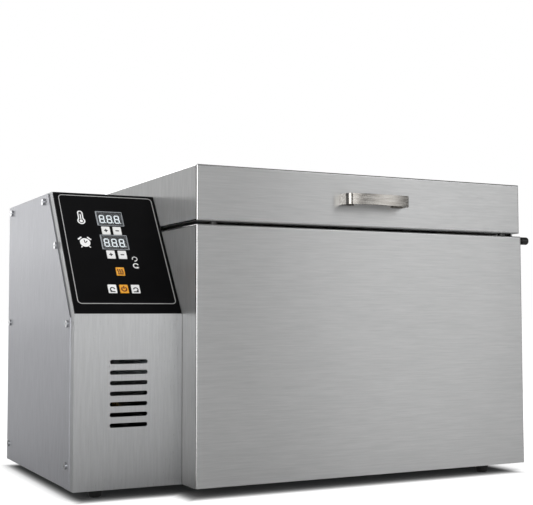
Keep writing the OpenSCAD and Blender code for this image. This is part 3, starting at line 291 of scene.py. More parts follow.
def ground_steel(name, grains, tones, gloss, rougher_sides=0.0, painted_side_shade=0.0):
    """Belt-ground stainless: satin, with a sheen that spreads across its lines.

    grains names the axes of the lines on front, side and top faces.
    """
    made, tree = new_material(name)
    place = add(tree, "ShaderNodeTexCoord")
    facing = add(tree, "ShaderNodeVectorMath", {0: place.outputs["Normal"]}, operation="ABSOLUTE")
    facing = add(tree, "ShaderNodeSeparateXYZ", {0: facing.outputs[0]})
    sideways = add(tree, "ShaderNodeMath", {0: facing.outputs["X"], 1: SIDE_FACE}, operation="GREATER_THAN")
    upward = add(tree, "ShaderNodeMath", {0: facing.outputs["Z"], 1: SIDE_FACE}, operation="GREATER_THAN")

    def by_face(front, side, top):
        level = add(tree, "ShaderNodeMix", {0: sideways.outputs[0], 4: front, 5: side}, data_type="VECTOR")
        turned = add(tree, "ShaderNodeMix", {0: upward.outputs[0], 4: level.outputs[1], 5: top},
                     data_type="VECTOR")
        return turned.outputs[1]

    def lines(long_mm, wide_mm, detail):
        scale = by_face(*[stretch(grain, long_mm, wide_mm) for grain in grains])
        at = add(tree, "ShaderNodeVectorMath", {0: place.outputs["Object"], 1: scale}, operation="MULTIPLY")
        return add(tree, "ShaderNodeTexNoise", {
            "Vector": at.outputs[0], "Scale": 1.0, "Detail": detail, "Roughness": 0.62})

    grain = lines(GRAIN_LONG_MM, GRAIN_WIDE_MM, 4.0)
    scratch = lines(SCRATCH_LONG_MM, SCRATCH_WIDE_MM, 2.0)
    cloud = add(tree, "ShaderNodeTexNoise", {
        "Vector": place.outputs["Object"], "Scale": 1000 / CLOUD_MM, "Detail": 2.0})
    low = add(tree, "ShaderNodeMath", {0: sideways.outputs[0], 1: SIDES_CRISPER, 2: GRAIN_LOW},
              operation="MULTIPLY_ADD")
    high = add(tree, "ShaderNodeMath", {0: sideways.outputs[0], 1: -SIDES_CRISPER, 2: 1.0 - GRAIN_LOW},
               operation="MULTIPLY_ADD")
    crisp = add(tree, "ShaderNodeMapRange", {
        "Value": grain.outputs[0], "From Min": low.outputs[0], "From Max": high.outputs[0]})
    mixed = add(tree, "ShaderNodeMix", {0: CLOUD_SHARE, 2: crisp.outputs[0], 3: cloud.outputs[0]})
    dark, light = tones
    tone = add(tree, "ShaderNodeMix", {0: mixed.outputs[0], 6: linear(dark), 7: linear(light)},
               data_type="RGBA")
    # Painted shade: left- and right-facing faces are darkened towards black by this share
    dim = add(tree, "ShaderNodeMath", {0: sideways.outputs[0], 1: painted_side_shade}, operation="MULTIPLY")
    tone = add(tree, "ShaderNodeMix", {0: dim.outputs[0], 6: tone.outputs[2], 7: linear("#000000")},
               data_type="RGBA")

    smooth, rough = gloss
    satin = add(tree, "ShaderNodeMapRange", {
        "Value": scratch.outputs[0], "From Min": 0.25, "From Max": 0.75, "To Min": smooth, "To Max": rough})
    satin = add(tree, "ShaderNodeMath", {0: sideways.outputs[0], 1: rougher_sides, 2: satin.outputs[0]},
                operation="MULTIPLY_ADD")
    flat = add(tree, "ShaderNodeMath", {0: facing.outputs["X"], 1: facing.outputs["Y"]},
               operation="MAXIMUM")
    flat = add(tree, "ShaderNodeMath", {0: flat.outputs[0], 1: facing.outputs["Z"]}, operation="MAXIMUM")
    fold = add(tree, "ShaderNodeMapRange", {
        "Value": flat.outputs[0], "From Min": FOLD_STARTS, "From Max": 1.0, "To Min": 1.0, "To Max": 0.0})
    satin = add(tree, "ShaderNodeMix", {0: fold.outputs[0], 2: satin.outputs[0], 3: FOLD_ROUGHNESS})
    groove = add(tree, "ShaderNodeBump", {
        "Height": grain.outputs[0], "Strength": 0.15, "Distance": GROOVE_MM / 1000})

    across = add(tree, "ShaderNodeVectorMath", {
        0: place.outputs["Normal"], 1: by_face(*[unit(grain) for grain in grains])},
        operation="CROSS_PRODUCT")
    turned = add(tree, "ShaderNodeVectorTransform", {0: across.outputs[0]}, vector_type="VECTOR",
                 convert_from="OBJECT", convert_to="WORLD")
    steel = add(tree, "ShaderNodeBsdfPrincipled", {
        "Base Color": tone.outputs[2], "Metallic": 1.0, "Roughness": satin.outputs[0], "Anisotropic": 0.92,
        "Tangent": turned.outputs[0], "Normal": groove.outputs[0]})
    add(tree, "ShaderNodeOutputMaterial", {"Surface": steel.outputs[0]})
    return made


def dress(made, *names):
    """Puts a material on CAD nodes, in place of their plain ones."""
    for name in names:
        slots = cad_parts[name].data.materials
        slots.clear()
        slots.append(made)


# The cabinet's sides are painted a shade darker than its front: painted shade, where they face the control
# box and its shadow.
# The cover's steel is painted a shade bluer: a painted reflection of the cool light from the left.
LEVEL = {"grains": "xzx", "tones": ("#c4c5c5", "#d6d6d6"), "gloss": (0.3, 0.4), "rougher_sides": 0.06}
cabinet_steel = ground_steel("belt_ground_stainless_level", painted_side_shade=0.2, **LEVEL)
dress(cabinet_steel, "cabinet_shell", "cabinet_back")
lid_steel = ground_steel("belt_ground_stainless_lid", **LEVEL)
dress(lid_steel, "lid_shell")

UPRIGHT = {"grains": "zzy", "gloss": (0.27, 0.32)}
box_steel = ground_steel("belt_ground_stainless_upright", tones=("#c1c2c3", "#d2d3d4"), **UPRIGHT)
dress(box_steel, "control_box_wrap", "control_box_inner_side", "control_box_back")
# Painted reflection: the cover's tones are tinted bluer to stand in for the cool light from the left
cover_steel_blue_reflection = ground_steel("belt_ground_stainless_cover", tones=("#c1c2c7", "#d2d3d8"), **UPRIGHT)
dress(cover_steel_blue_reflection, "side_cover")


# Roasting chamber and drum
# Stainless sheet as it leaves the rolling mill, dull and even, then straw-tinted by heat: the
# trough and its ends, the lid's inner pan, and all of the drum.
TINT_MM = 110.0
ROLLED_MM = 1.0            # the mill's own texture is 0.02 mm
DENT_MM = 0.03


def rolled_steel(name, dark, light, heated, most):
    """Cold-rolled stainless: soft grey gloss, with warm clouds where it has been hot."""
    made, tree = new_material(name)
    place = add(tree, "ShaderNodeTexCoord").outputs["Object"]
    cloud = add(tree, "ShaderNodeTexNoise", {"Vector": place, "Scale": 1000 / TINT_MM, "Detail": 4.0})
    fine = add(tree, "ShaderNodeTexNoise", {"Vector": place, "Scale": 1000 / ROLLED_MM, "Detail": 2.0})
    tone = add(tree, "ShaderNodeMix", {0: fine.outputs[0], 6: linear(dark), 7: linear(light)},
               data_type="RGBA")
    share = add(tree, "ShaderNodeMapRange", {
        "Value": cloud.outputs[0], "From Min": 0.42, "From Max": 0.68, "To Max": most},
        interpolation_type="SMOOTHSTEP")
    tone = add(tree, "ShaderNodeMix", {0: share.outputs[0], 6: tone.outputs[2], 7: linear(heated)},
               data_type="RGBA")
    gloss = add(tree, "ShaderNodeMapRange", {
        "Value": cloud.outputs[0], "From Min": 0.3, "From Max": 0.7, "To Min": 0.3, "To Max": 0.44})
    dent = add(tree, "ShaderNodeBump", {
        "Height": fine.outputs[0], "Strength": 0.1, "Distance": DENT_MM / 1000})
    steel = add(tree, "ShaderNodeBsdfPrincipled", {
        "Base Color": tone.outputs[2], "Metallic": 1.0, "Roughness": gloss.outputs[0],
        "Normal": dent.outputs[0]})
    add(tree, "ShaderNodeOutputMaterial", {"Surface": steel.outputs[0]})
    return made


# The drum's sheet is a little paler than the chamber's, and its tint is browner
chamber_steel = rolled_steel("cold_rolled_stainless_chamber", "#a9a8a6", "#b9b8b5", "#a39578", most=0.4)
dress(chamber_steel, "chamber_trough", "chamber_ends", "lid_liner")
drum_steel = rolled_steel("cold_rolled_stainless_drum", "#b2b1ae", "#c4c3bf", "#a58a5e", most=0.35)
dress(drum_steel, "drum_shell", "drum_drive_end", "drum_tail_end", "drum_flights", "hatch_rails",
      "drum_hatch")


# Base and motor bracket
# Hot-dip galvanised sheet, folded to a tray and a bracket. The zinc sets in leaf-shaped crystals,
# some bright and some dull.
SPANGLE_MM = 9.0

zinc_sheet, tree = new_material("hot_dip_galvanised_sheet")
place = add(tree, "ShaderNodeTexCoord").outputs["Object"]
leaves = add(tree, "ShaderNodeTexVoronoi", {"Vector": place, "Scale": 1000 / SPANGLE_MM},
             distance="CHEBYCHEV")
leaf = add(tree, "ShaderNodeSeparateColor", {0: leaves.outputs["Color"]}).outputs[0]
tone = add(tree, "ShaderNodeMix", {0: leaf, 6: linear("#9ba1a6"), 7: linear("#bcc1c4")}, data_type="RGBA")
gloss = add(tree, "ShaderNodeMapRange", {"Value": leaf, "To Min": 0.35, "To Max": 0.55})
zinc = add(tree, "ShaderNodeBsdfPrincipled", {
    "Base Color": tone.outputs[2], "Metallic": 1.0, "Roughness": gloss.outputs[0]})
add(tree, "ShaderNodeOutputMaterial", {"Surface": zinc.outputs[0]})
dress(zinc_sheet, "base_plate", "motor_bracket")


# Screws, hinges and small metal parts
# Zinc-plated screws, satin hinges and lock keeper, turned bronze and brass, the gearmotor's cast
# case and drawn can, the heaters' oxidised sheaths: each varies with the marks of its making.
BROAD_SHARE = 0.07         # scale of the broad marks, as a share of the fine marks' scale


def worked_metal(name, dark, light, mark_mm, rough, spread, depth_mm):
    """Metal part whose colour and gloss vary with tool marks or casting skin."""
    made, tree = new_material(name)
    place = add(tree, "ShaderNodeTexCoord").outputs["Object"]
    marks = add(tree, "ShaderNodeTexNoise", {"Vector": place, "Scale": 1000 / mark_mm, "Detail": 4.0})
    broad = add(tree, "ShaderNodeTexNoise", {"Vector": place, "Scale": BROAD_SHARE * 1000 / mark_mm})
    mixed = add(tree, "ShaderNodeMix", {0: 0.5, 2: marks.outputs[0], 3: broad.outputs[0]})
    share = add(tree, "ShaderNodeMapRange", {
        "Value": mixed.outputs[0], "From Min": 0.35, "From Max": 0.65})
    tone = add(tree, "ShaderNodeMix", {0: share.outputs[0], 6: linear(dark), 7: linear(light)},
               data_type="RGBA")
    gloss = add(tree, "ShaderNodeMapRange", {
        "Value": marks.outputs[0], "From Min": 0.3, "From Max": 0.7,
        "To Min": rough - spread, "To Max": rough + spread})
    dent = add(tree, "ShaderNodeBump", {
        "Height": marks.outputs[0], "Strength": 0.15, "Distance": depth_mm / 1000})
    metal = add(tree, "ShaderNodeBsdfPrincipled", {
        "Base Color": tone.outputs[2], "Metallic": 1.0, "Roughness": gloss.outputs[0],
        "Normal": dent.outputs[0]})
    add(tree, "ShaderNodeOutputMaterial", {"Surface": metal.outputs[0]})
    return made


# Bright zinc plate gives the screws small hard highlights
screw_zinc = worked_metal(
    "bright_zinc_plate", "#a2a4a7", "#c0c1c2", mark_mm=0.5, rough=0.15, spread=0.04, depth_mm=0.03)
dress(screw_zinc, "foot_screws", "panel_screws", "motor_screws", "lid_screws")

# Satin steel gives wide dull highlights, without a colour of its own
hinge_steel = worked_metal(
    "satin_hinge_steel", "#a4a5a6", "#b8b8b8", mark_mm=0.4, rough=0.36, spread=0.07, depth_mm=0.03)
dress(hinge_steel, "hinge_body_leaves", "hinge_pins", "hinge_lid_leaves", "lock_keeper")

# Turned bronze is a deep yellow-brown and half dull
bronze = worked_metal(
    "turned_bearing_bronze", "#a8853f", "#c9a55c", mark_mm=0.6, rough=0.34, spread=0.07, depth_mm=0.03)
dress(bronze, "drive_bearing", "tail_bearing")

# Turned brass is paler than the bronze, and glossier
brass = worked_metal(
    "turned_brass", "#b8975a", "#d6ba7c", mark_mm=0.5, rough=0.26, spread=0.06, depth_mm=0.03)
dress(brass, "heater_fittings", "lock_bush")

# Ground steel is the brightest of these metals, and smooth
shaft_steel = worked_metal(
    "ground_shaft_steel", "#bdbec0", "#d0d1d2", mark_mm=0.3, rough=0.2, spread=0.05, depth_mm=0.01)
dress(shaft_steel, "drive_shaft", "temperature_probe", "lock_bolt")

# The drawn and plated can is a faintly warm grey
can_zinc = worked_metal(
    "zinc_plated_drawn_can", "#b4b4ae", "#c8c8c2", mark_mm=0.8, rough=0.3, spread=0.07, depth_mm=0.04)
dress(can_zinc, "motor_can", "shaft_coupling")

# The casting skin is a dull flat grey with a fine grain
cast_zinc = worked_metal(
    "die_cast_zinc", "#8d8f92", "#a0a2a4", mark_mm=0.7, rough=0.5, spread=0.1, depth_mm=0.15)
dress(cast_zinc, "gearbox")

# The heaters' oxide is nearly black, in brown patches, and hardly shines
oxide = worked_metal(
    "oxidised_heater_sheath", "#2e2b2b", "#5a4c44", mark_mm=1.6, rough=0.5, spread=0.12, depth_mm=0.15)
dress(oxide, "heater_tubes")


# Lid handle
# Bowed strap of steel, belt-ground along its length and nickel-plated: warmer and glossier than
# the sheets, with a few coarse lines along the strap.
HANDLE_LINE_MM = 1.6       # the real lines are 0.2 mm
HANDLE_LINE_LONG_MM = 28.0

nickel, tree = new_material("brushed_nickel_plate")
place = add(tree, "ShaderNodeTexCoord")
at = add(tree, "ShaderNodeVectorMath", {
    0: place.outputs["Object"], 1: stretch("x", HANDLE_LINE_LONG_MM, HANDLE_LINE_MM)},
    operation="MULTIPLY")
lines = add(tree, "ShaderNodeTexNoise", {"Vector": at.outputs[0], "Scale": 1.0, "Detail": 3.0})
share = add(tree, "ShaderNodeMapRange", {"Value": lines.outputs[0], "From Min": 0.35, "From Max": 0.65})
tone = add(tree, "ShaderNodeMix", {0: share.outputs[0], 6: linear("#9c9893"), 7: linear("#c2bfba")},
           data_type="RGBA")
gloss = add(tree, "ShaderNodeMapRange", {
    "Value": lines.outputs[0], "From Min": 0.3, "From Max": 0.7, "To Min": 0.2, "To Max": 0.3})
across = add(tree, "ShaderNodeVectorMath", {0: place.outputs["Normal"], 1: unit("z")},
             operation="CROSS_PRODUCT")
upright = add(tree, "ShaderNodeVectorMath", {0: across.outputs[0], 1: place.outputs["Normal"]},
              operation="CROSS_PRODUCT")
turned = add(tree, "ShaderNodeVectorTransform", {0: upright.outputs[0]}, vector_type="VECTOR",
             convert_from="OBJECT", convert_to="WORLD")
strap = add(tree, "ShaderNodeBsdfPrincipled", {
    "Base Color": tone.outputs[2], "Metallic": 1.0, "Roughness": gloss.outputs[0], "Anisotropic": 0.6,
    "Tangent": turned.outputs[0]})
add(tree, "ShaderNodeOutputMaterial", {"Surface": strap.outputs[0]})
dress(nickel, "lid_handle")


# Mineral wool
# Slabs of stone wool, pressed round the trough and into the lid: a felt of fine tan fibres, dull
# and soft, in wandering tufts.
FIBRE_MM = 2.4             # the real fibres are 0.01 mm
TUFT_MM = 16.667
TUFT_SWAY = 0.04           # how far the tufts draw the fibres aside
TUFT_DEPTH_MM = 1.0

wool, tree = new_material("stone_wool_felt")
place = add(tree, "ShaderNodeTexCoord").outputs["Object"]
sway = add(tree, "ShaderNodeTexNoise", {"Vector": place, "Scale": 1000 / TUFT_MM, "Detail": 3.0})
mixed = add(tree, "ShaderNodeMix", {0: TUFT_SWAY, 4: place, 5: sway.outputs["Color"]}, data_type="VECTOR")
fibre = add(tree, "ShaderNodeTexNoise", {
    "Vector": mixed.outputs[1], "Scale": 1000 / FIBRE_MM, "Detail": 6.0, "Roughness": 0.75})
share = add(tree, "ShaderNodeMapRange", {"Value": fibre.outputs[0], "From Min": 0.3, "From Max": 0.7})
tone = add(tree, "ShaderNodeMix", {0: share.outputs[0], 6: linear("#8f7c4c"), 7: linear("#d2c392")},
           data_type="RGBA")
tuft = add(tree, "ShaderNodeBump", {
    "Height": fibre.outputs[0], "Strength": 0.8, "Distance": TUFT_DEPTH_MM / 1000})
felt = add(tree, "ShaderNodeBsdfPrincipled", {
    "Base Color": tone.outputs[2], "Roughness": 0.95, "Normal": tuft.outputs[0]})
add(tree, "ShaderNodeOutputMaterial", {"Surface": felt.outputs[0]})
dress(wool, "insulation", "lid_insulation")


# Moulded pieces
# Rubber feet and lid buffers; inlet and lock knob in black nylon; ivory nylon terminal strip and
# polypropylene capacitor case; smoked display faces; key caps in white and amber acrylic.
FLOW_MM = 11.111
SMOOTHER = 0.05            # the marks of the flow take this much off the roughness
ROUGHER = 0.06             # and add this much


def moulded(name, dark, light, grain_mm, rough, depth_mm, index):
    """Moulded plastic or rubber: a fine eroded texture, with slight changes of gloss."""
    made, tree = new_material(name)
    place = add(tree, "ShaderNodeTexCoord").outputs["Object"]
    grain = add(tree, "ShaderNodeTexNoise", {"Vector": place, "Scale": 1000 / grain_mm, "Detail": 3.0})
    flow = add(tree, "ShaderNodeTexNoise", {"Vector": place, "Scale": 1000 / FLOW_MM, "Detail": 2.0})
    mixed = add(tree, "ShaderNodeMix", {0: 0.5, 2: grain.outputs[0], 3: flow.outputs[0]})
    share = add(tree, "ShaderNodeMapRange", {
        "Value": mixed.outputs[0], "From Min": 0.35, "From Max": 0.65})
    tone = add(tree, "ShaderNodeMix", {0: share.outputs[0], 6: linear(dark), 7: linear(light)},
               data_type="RGBA")
    gloss = add(tree, "ShaderNodeMapRange", {
        "Value": flow.outputs[0], "From Min": 0.3, "From Max": 0.7,
        "To Min": rough - SMOOTHER, "To Max": rough + ROUGHER})
    pits = add(tree, "ShaderNodeBump", {
        "Height": grain.outputs[0], "Strength": 0.3, "Distance": depth_mm / 1000})
    plastic = add(tree, "ShaderNodeBsdfPrincipled", {
        "Base Color": tone.outputs[2], "Roughness": gloss.outputs[0], "IOR": index,
        "Normal": pits.outputs[0]})
    add(tree, "ShaderNodeOutputMaterial", {"Surface": plastic.outputs[0]})
    return made


# Rubber is dark and even, with a wide soft shine
rubber = moulded(
    "black_rubber", "#1c1c1c", "#2e2d2c", grain_mm=0.5, rough=0.34, depth_mm=0.04, index=1.52)
dress(rubber, "feet", "lid_bumpers")

# Black nylon has the same soft shine, on a deeper black
black_nylon = moulded(
    "black_nylon", "#050505", "#0a0a0a", grain_mm=0.35, rough=0.34, depth_mm=0.02, index=1.53)
dress(black_nylon, "mains_inlet", "lock_knob")

# The ivory plastics are warm white and half dull, the nylon one yellower
ivory_nylon = moulded(
    "ivory_nylon", "#d8cfae", "#e4dcc0", grain_mm=0.4, rough=0.45, depth_mm=0.02, index=1.53)
dress(ivory_nylon, "terminal_block")
ivory_case = moulded(
    "ivory_polypropylene", "#dddbd0", "#e9e7df", grain_mm=0.4, rough=0.4, depth_mm=0.02, index=1.49)
dress(ivory_case, "motor_capacitor")

# The displays' own faces are nearly black, with a breath of blue
display_face = moulded(
    "smoked_display_face", "#07090b", "#0e1114", grain_mm=0.3, rough=0.3, depth_mm=0.01, index=1.5)
dress(display_face, "display_modules")

# Acrylic caps are clean and glossy, white or a warm amber
white_cap = moulded(
    "white_acrylic_cap", "#f0f0ef", "#fafafa", grain_mm=0.4, rough=0.26, depth_mm=0.01, index=1.49)
dress(white_cap, "key_temp_up", "key_temp_down", "key_time_up", "key_time_down", "key_reverse", "key_forward")
amber_cap = moulded(
    "amber_acrylic_cap", "#ee9c1c", "#f8b83c", grain_mm=0.4, rough=0.26, depth_mm=0.01, index=1.49)
dress(amber_cap, "key_heat", "key_motor")


# Circuit boards
# Glass-epoxy boards on spacers, under green solder mask. The copper tracks show through it as
# paler, slightly raised lines.
TRACK_STEP_MM = 6.0
TRACK_DEPTH_MM = 0.05
WEAVE_MM = 0.7

board, tree = new_material("solder_masked_board")
place = add(tree, "ShaderNodeTexCoord").outputs["Object"]
cells = add(tree, "ShaderNodeTexVoronoi", {"Vector": place, "Scale": 1000 / TRACK_STEP_MM},
            feature="DISTANCE_TO_EDGE")
track = add(tree, "ShaderNodeMapRange", {
    "Value": cells.outputs["Distance"], "From Min": 0.04, "From Max": 0.09, "To Min": 1.0, "To Max": 0.0})
weave = add(tree, "ShaderNodeTexNoise", {"Vector": place, "Scale": 1000 / WEAVE_MM})
tone = add(tree, "ShaderNodeMix", {0: weave.outputs[0], 6: linear("#0b3d1c"), 7: linear("#125028")},
           data_type="RGBA")
tone = add(tree, "ShaderNodeMix", {0: track.outputs[0], 6: tone.outputs[2], 7: linear("#2c7a3c")},
           data_type="RGBA")
step = add(tree, "ShaderNodeBump", {
    "Height": track.outputs[0], "Strength": 0.4, "Distance": TRACK_DEPTH_MM / 1000})
mask = add(tree, "ShaderNodeBsdfPrincipled", {
    "Base Color": tone.outputs[2], "Roughness": 0.32, "Normal": step.outputs[0]})
add(tree, "ShaderNodeOutputMaterial", {"Surface": mask.outputs[0]})
dress(board, "control_board", "power_board")


# Operating panel
# A black polyester film, printed on its back and glued on the slope. Two clear smoked windows in
# it cover the displays, whose three figures are cast light guides, lit white from behind.
FILM_GRAIN_MM = 0.25
FILM_GRAIN_DEPTH_MM = 0.02
FILM_CLOUD_MM = 33.333
WINDOW_CLOUD_MM = 8.333
SEGMENT_CLOUD_MM = 1.4286

# Matte polyester: nearly black, with only a wide dim shine
film, tree = new_material("matte_polyester_film")
place = add(tree, "ShaderNodeTexCoord").outputs["Object"]
grain = add(tree, "ShaderNodeTexNoise", {"Vector": place, "Scale": 1000 / FILM_GRAIN_MM, "Detail": 3.0})
cloud = add(tree, "ShaderNodeTexNoise", {"Vector": place, "Scale": 1000 / FILM_CLOUD_MM, "Detail": 3.0})
tone = add(tree, "ShaderNodeMix", {0: cloud.outputs[0], 6: linear("#040405"), 7: linear("#09090b")},
           data_type="RGBA")
gloss = add(tree, "ShaderNodeMapRange", {
    "Value": cloud.outputs[0], "From Min": 0.3, "From Max": 0.7, "To Min": 0.34, "To Max": 0.44})
pits = add(tree, "ShaderNodeBump", {
    "Height": grain.outputs[0], "Strength": 0.2, "Distance": FILM_GRAIN_DEPTH_MM / 1000})
polyester = add(tree, "ShaderNodeBsdfPrincipled", {
    "Base Color": tone.outputs[2], "Roughness": gloss.outputs[0], "Specular IOR Level": 0.12,
    "Normal": pits.outputs[0]})
add(tree, "ShaderNodeOutputMaterial", {"Surface": polyester.outputs[0]})
dress(film, "fascia_overlay")

# Smoked acrylic: clear and glossy, and it turns the display behind it a shade darker
window, tree = new_material("smoked_acrylic_window")
place = add(tree, "ShaderNodeTexCoord").outputs["Object"]
cloud = add(tree, "ShaderNodeTexNoise", {
    "Vector": place, "Scale": 1000 / WINDOW_CLOUD_MM, "Detail": 2.0})
tone = add(tree, "ShaderNodeMix", {0: cloud.outputs[0], 6: linear("#a0a3a6"), 7: linear("#aeb1b4")},
           data_type="RGBA")
gloss = add(tree, "ShaderNodeMapRange", {"Value": cloud.outputs[0], "To Min": 0.02, "To Max": 0.06})
acrylic = add(tree, "ShaderNodeBsdfPrincipled", {
    "Base Color": tone.outputs[2], "Roughness": gloss.outputs[0], "IOR": 1.49, "Transmission Weight": 1.0})
add(tree, "ShaderNodeOutputMaterial", {"Surface": acrylic.outputs[0]})
dress(window, "display_windows")

# Cast white light guides: they glow evenly, a little cooler than paper
segments, tree = new_material("lit_white_segments")
place = add(tree, "ShaderNodeTexCoord").outputs["Object"]
cloud = add(tree, "ShaderNodeTexNoise", {
    "Vector": place, "Scale": 1000 / SEGMENT_CLOUD_MM, "Detail": 1.0})
tone = add(tree, "ShaderNodeMix", {0: cloud.outputs[0], 6: linear("#e0e8ea"), 7: linear("#ffffff")},
           data_type="RGBA")
lit = add(tree, "ShaderNodeBsdfPrincipled", {
    "Base Color": tone.outputs[2], "Roughness": 0.4, "Emission Color": tone.outputs[2],
    "Emission Strength": 2.2})
add(tree, "ShaderNodeOutputMaterial", {"Surface": lit.outputs[0]})
dress(segments, "display_digits")


# Printed signs
# Screen-printed signs on the film and the caps: a border line, a thermometer, an alarm clock, two
# turning arrows, and plus, minus, heat, power and arrow signs. They are drawn in millimetres: u
# runs to the right from the panel's left edge, and s up the slope from the fold below it.
PANEL_FOOT = 0.203         # height of the fold where the slope starts, in metres like the frame
SLOPE_DEPTH = 0.0956       # how far the slope leans back on its way up
PANEL_ASIDE = 0.0004       # the panel's left edge lies this far outside the folded sheet
slope = math.atan(SLOPE_DEPTH / (wrap_box[1].z - PANEL_FOOT))
panel_at = Vector((wrap_box[0].x - PANEL_ASIDE, wrap_box[0].y, PANEL_FOOT))
panel_axes = Matrix((
    (1, 0, 0),
    (0, math.sin(slope), -math.cos(slope)),
    (0, math.cos(slope), math.sin(slope)),
)).to_4x4()
on_panel = Matrix.Translation(panel_at) @ panel_axes @ Matrix.Scale(0.001, 4)
INK_MM = 0.06
INK_SINK_MM = 0.01         # the prints reach this far into the face below them
FILM_MM = 0.5              # height of the film's face over the slope
CAP_MM = 0.9               # and of the keys' faces
LAYER_MM = 0.004           # keeps prints that cross on one cap apart
HEAD_LAYER_MM = 0.01       # and an arrow's head off its ring
MOTTLE_MM = 0.4            # the real mottle is 0.1 mm


def ink(name, dark, light):
    """Screen-printing ink: flat and nearly even, with the fine mottle of the mesh."""
    made, tree = new_material(name)
    place = add(tree, "ShaderNodeTexCoord").outputs["Object"]
    mottle = add(tree, "ShaderNodeTexNoise", {"Vector": place, "Scale": 1000 / MOTTLE_MM, "Detail": 2.0})
    tone = add(tree, "ShaderNodeMix", {0: mottle.outputs[0], 6: linear(dark), 7: linear(light)},
               data_type="RGBA")
    gloss = add(tree, "ShaderNodeMapRange", {"Value": mottle.outputs[0], "To Min": 0.42, "To Max": 0.56})
    coat = add(tree, "ShaderNodeBsdfPrincipled", {
        "Base Color": tone.outputs[2], "Roughness": gloss.outputs[0]})
    add(tree, "ShaderNodeOutputMaterial", {"Surface": coat.outputs[0]})
    return made


white_ink = ink("white_screen_ink", "#f2f2f1", "#ffffff")
grey_ink = ink("grey_screen_ink", "#a4a4a4", "#bababa")
rim_ink = ink("pale_grey_rim_ink", "#8d9298", "#a6aaae")
black_ink = ink("black_screen_ink", "#121212", "#1e1e1e")
brown_ink = ink("brown_screen_ink", "#4a1406", "#63200a")


def circle(u, s, r, start=0.0, end=360.0, count=40):
    """Points of a circle, or of an arc of it, between two angles in degrees."""
    steps = count if abs(end - start) >= 360.0 else count + 1
    turn = math.radians((end - start) / count)
    first = math.radians(start)
    return [(u + r * math.cos(first + turn * i), s + r * math.sin(first + turn * i)) for i in range(steps)]


def arc_band(u, s, inner, outer, start, end):
    """Ring that is open between its two ends."""
    return circle(u, s, outer, start, end) + circle(u, s, inner, end, start)


def bar(u, s, length, width, angle):
    """Round-ended bar centred on a point."""
    reach = (length - width) / 2
    du = reach * math.cos(math.radians(angle))
    ds = reach * math.sin(math.radians(angle))
    return (circle(u + du, s + ds, width / 2, angle - 90, angle + 90, 10)
            + circle(u - du, s - ds, width / 2, angle + 90, angle + 270, 10))


def rounded(left, foot, right, top, r):
    """Rectangle with round corners."""
    corners = ((right - r, top - r), (left + r, top - r), (left + r, foot + r), (right - r, foot + r))
    loop = []
    for i, (u, s) in enumerate(corners):
        loop += circle(u, s, r, 90 * i, 90 * (i + 1), 8)
    return loop


def printed(name, loops, base_mm, body, made):
    """Thin print of closed loops, holes inside outlines, in millimetres on the panel."""
    curve = bpy.data.curves.new(name, "CURVE")
    curve.dimensions = "2D"
    curve.fill_mode = "BOTH"
    curve.extrude = INK_MM / 2
    for loop in loops:
        spline = curve.splines.new("POLY")
        spline.points.add(len(loop) - 1)
        for point, (u, s) in zip(spline.points, loop):
            point.co = (u, s, 0, 1)
        spline.use_cyclic_u = True
    outline = bpy.data.objects.new(name + "_outline", curve)
    bpy.context.scene.collection.objects.link(outline)
    graph = bpy.context.evaluated_depsgraph_get()
    mesh = bpy.data.meshes.new_from_object(outline.evaluated_get(graph))
    bpy.data.objects.remove(outline)
    mesh.name = name
    mesh.transform(on_panel @ Matrix.Translation((0, 0, base_mm + INK_MM / 2 - INK_SINK_MM)))
    mesh.materials.clear()
    mesh.materials.append(made)
    piece = bpy.data.objects.new(name, mesh)
    bpy.context.scene.collection.objects.link(piece)
    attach(piece, body)


def on_film(name, loops, made, layer=0.0):
    """Print on the panel's film."""
    printed(name, loops, FILM_MM + layer, "cabinet", made)


BORDER_LEFT, BORDER_FOOT = 6.4, 13.0
BORDER_RIGHT, BORDER_TOP = 123.0, 169.0
BORDER_R = 5.0
BORDER_LINE = 0.9
on_film("panel_border_line", [
    rounded(BORDER_LEFT, BORDER_FOOT, BORDER_RIGHT, BORDER_TOP, BORDER_R),
    rounded(BORDER_LEFT + BORDER_LINE, BORDER_FOOT + BORDER_LINE, BORDER_RIGHT - BORDER_LINE,
            BORDER_TOP - BORDER_LINE, BORDER_R - BORDER_LINE)], grey_ink)

# Thermometer: a bulb under a stem, both in outline, with the filling as a bar and a disc
THERMO_U = 29.0
STEM_S = 142.0
STEM_R = 3.3
BULB_S = 130.2
BULB_R = 4.8
STEM_LINE = 1.4
BULB_LINE = 1.5
FILLING_S = 136.0
FILLING_LONG = 9.0
FILLING_WIDE = 1.3
DISC_S = 130.0
DISC_R = 2.0


def stem_and_bulb(stem_r, bulb_r):
    """Outline of a round-topped stem that opens into a round bulb."""
    meet = math.degrees(math.asin(stem_r / bulb_r))
    return circle(THERMO_U, STEM_S, stem_r, 0, 180) + circle(THERMO_U, BULB_S, bulb_r, 90 + meet, 450 - meet)


on_film("thermometer_sign", [
    stem_and_bulb(STEM_R, BULB_R), stem_and_bulb(STEM_R - STEM_LINE, BULB_R - BULB_LINE),
    bar(THERMO_U, FILLING_S, FILLING_LONG, FILLING_WIDE, 90), circle(THERMO_U, DISC_S, DISC_R)], white_ink)

# Alarm clock: a white face with black hands, two bell bars above it and two feet below. Each bar
# has its place from the face's middle, its length and width, and its angle
CLOCK_U = 28.5
CLOCK_S = 98.4
CLOCK_R = 6.2
HANDS = ((-0.5, 1.9, 4.6, 1.0, 96), (1.5, 0.9, 4.2, 1.0, 50))
BELLS = ((-5.6, 6.0, 6.0, 1.9, 42), (5.6, 6.0, 6.0, 1.9, 138))
CLOCK_FEET = ((-4.8, -6.3, 2.6, 1.2, 50), (4.8, -6.3, 2.6, 1.2, 130))
clock = [circle(CLOCK_U, CLOCK_S, CLOCK_R)]
for across, up, length, width, angle in HANDS + BELLS + CLOCK_FEET:
    clock.append(bar(CLOCK_U + across, CLOCK_S + up, length, width, angle))
on_film("alarm_clock_sign", clock, white_ink)


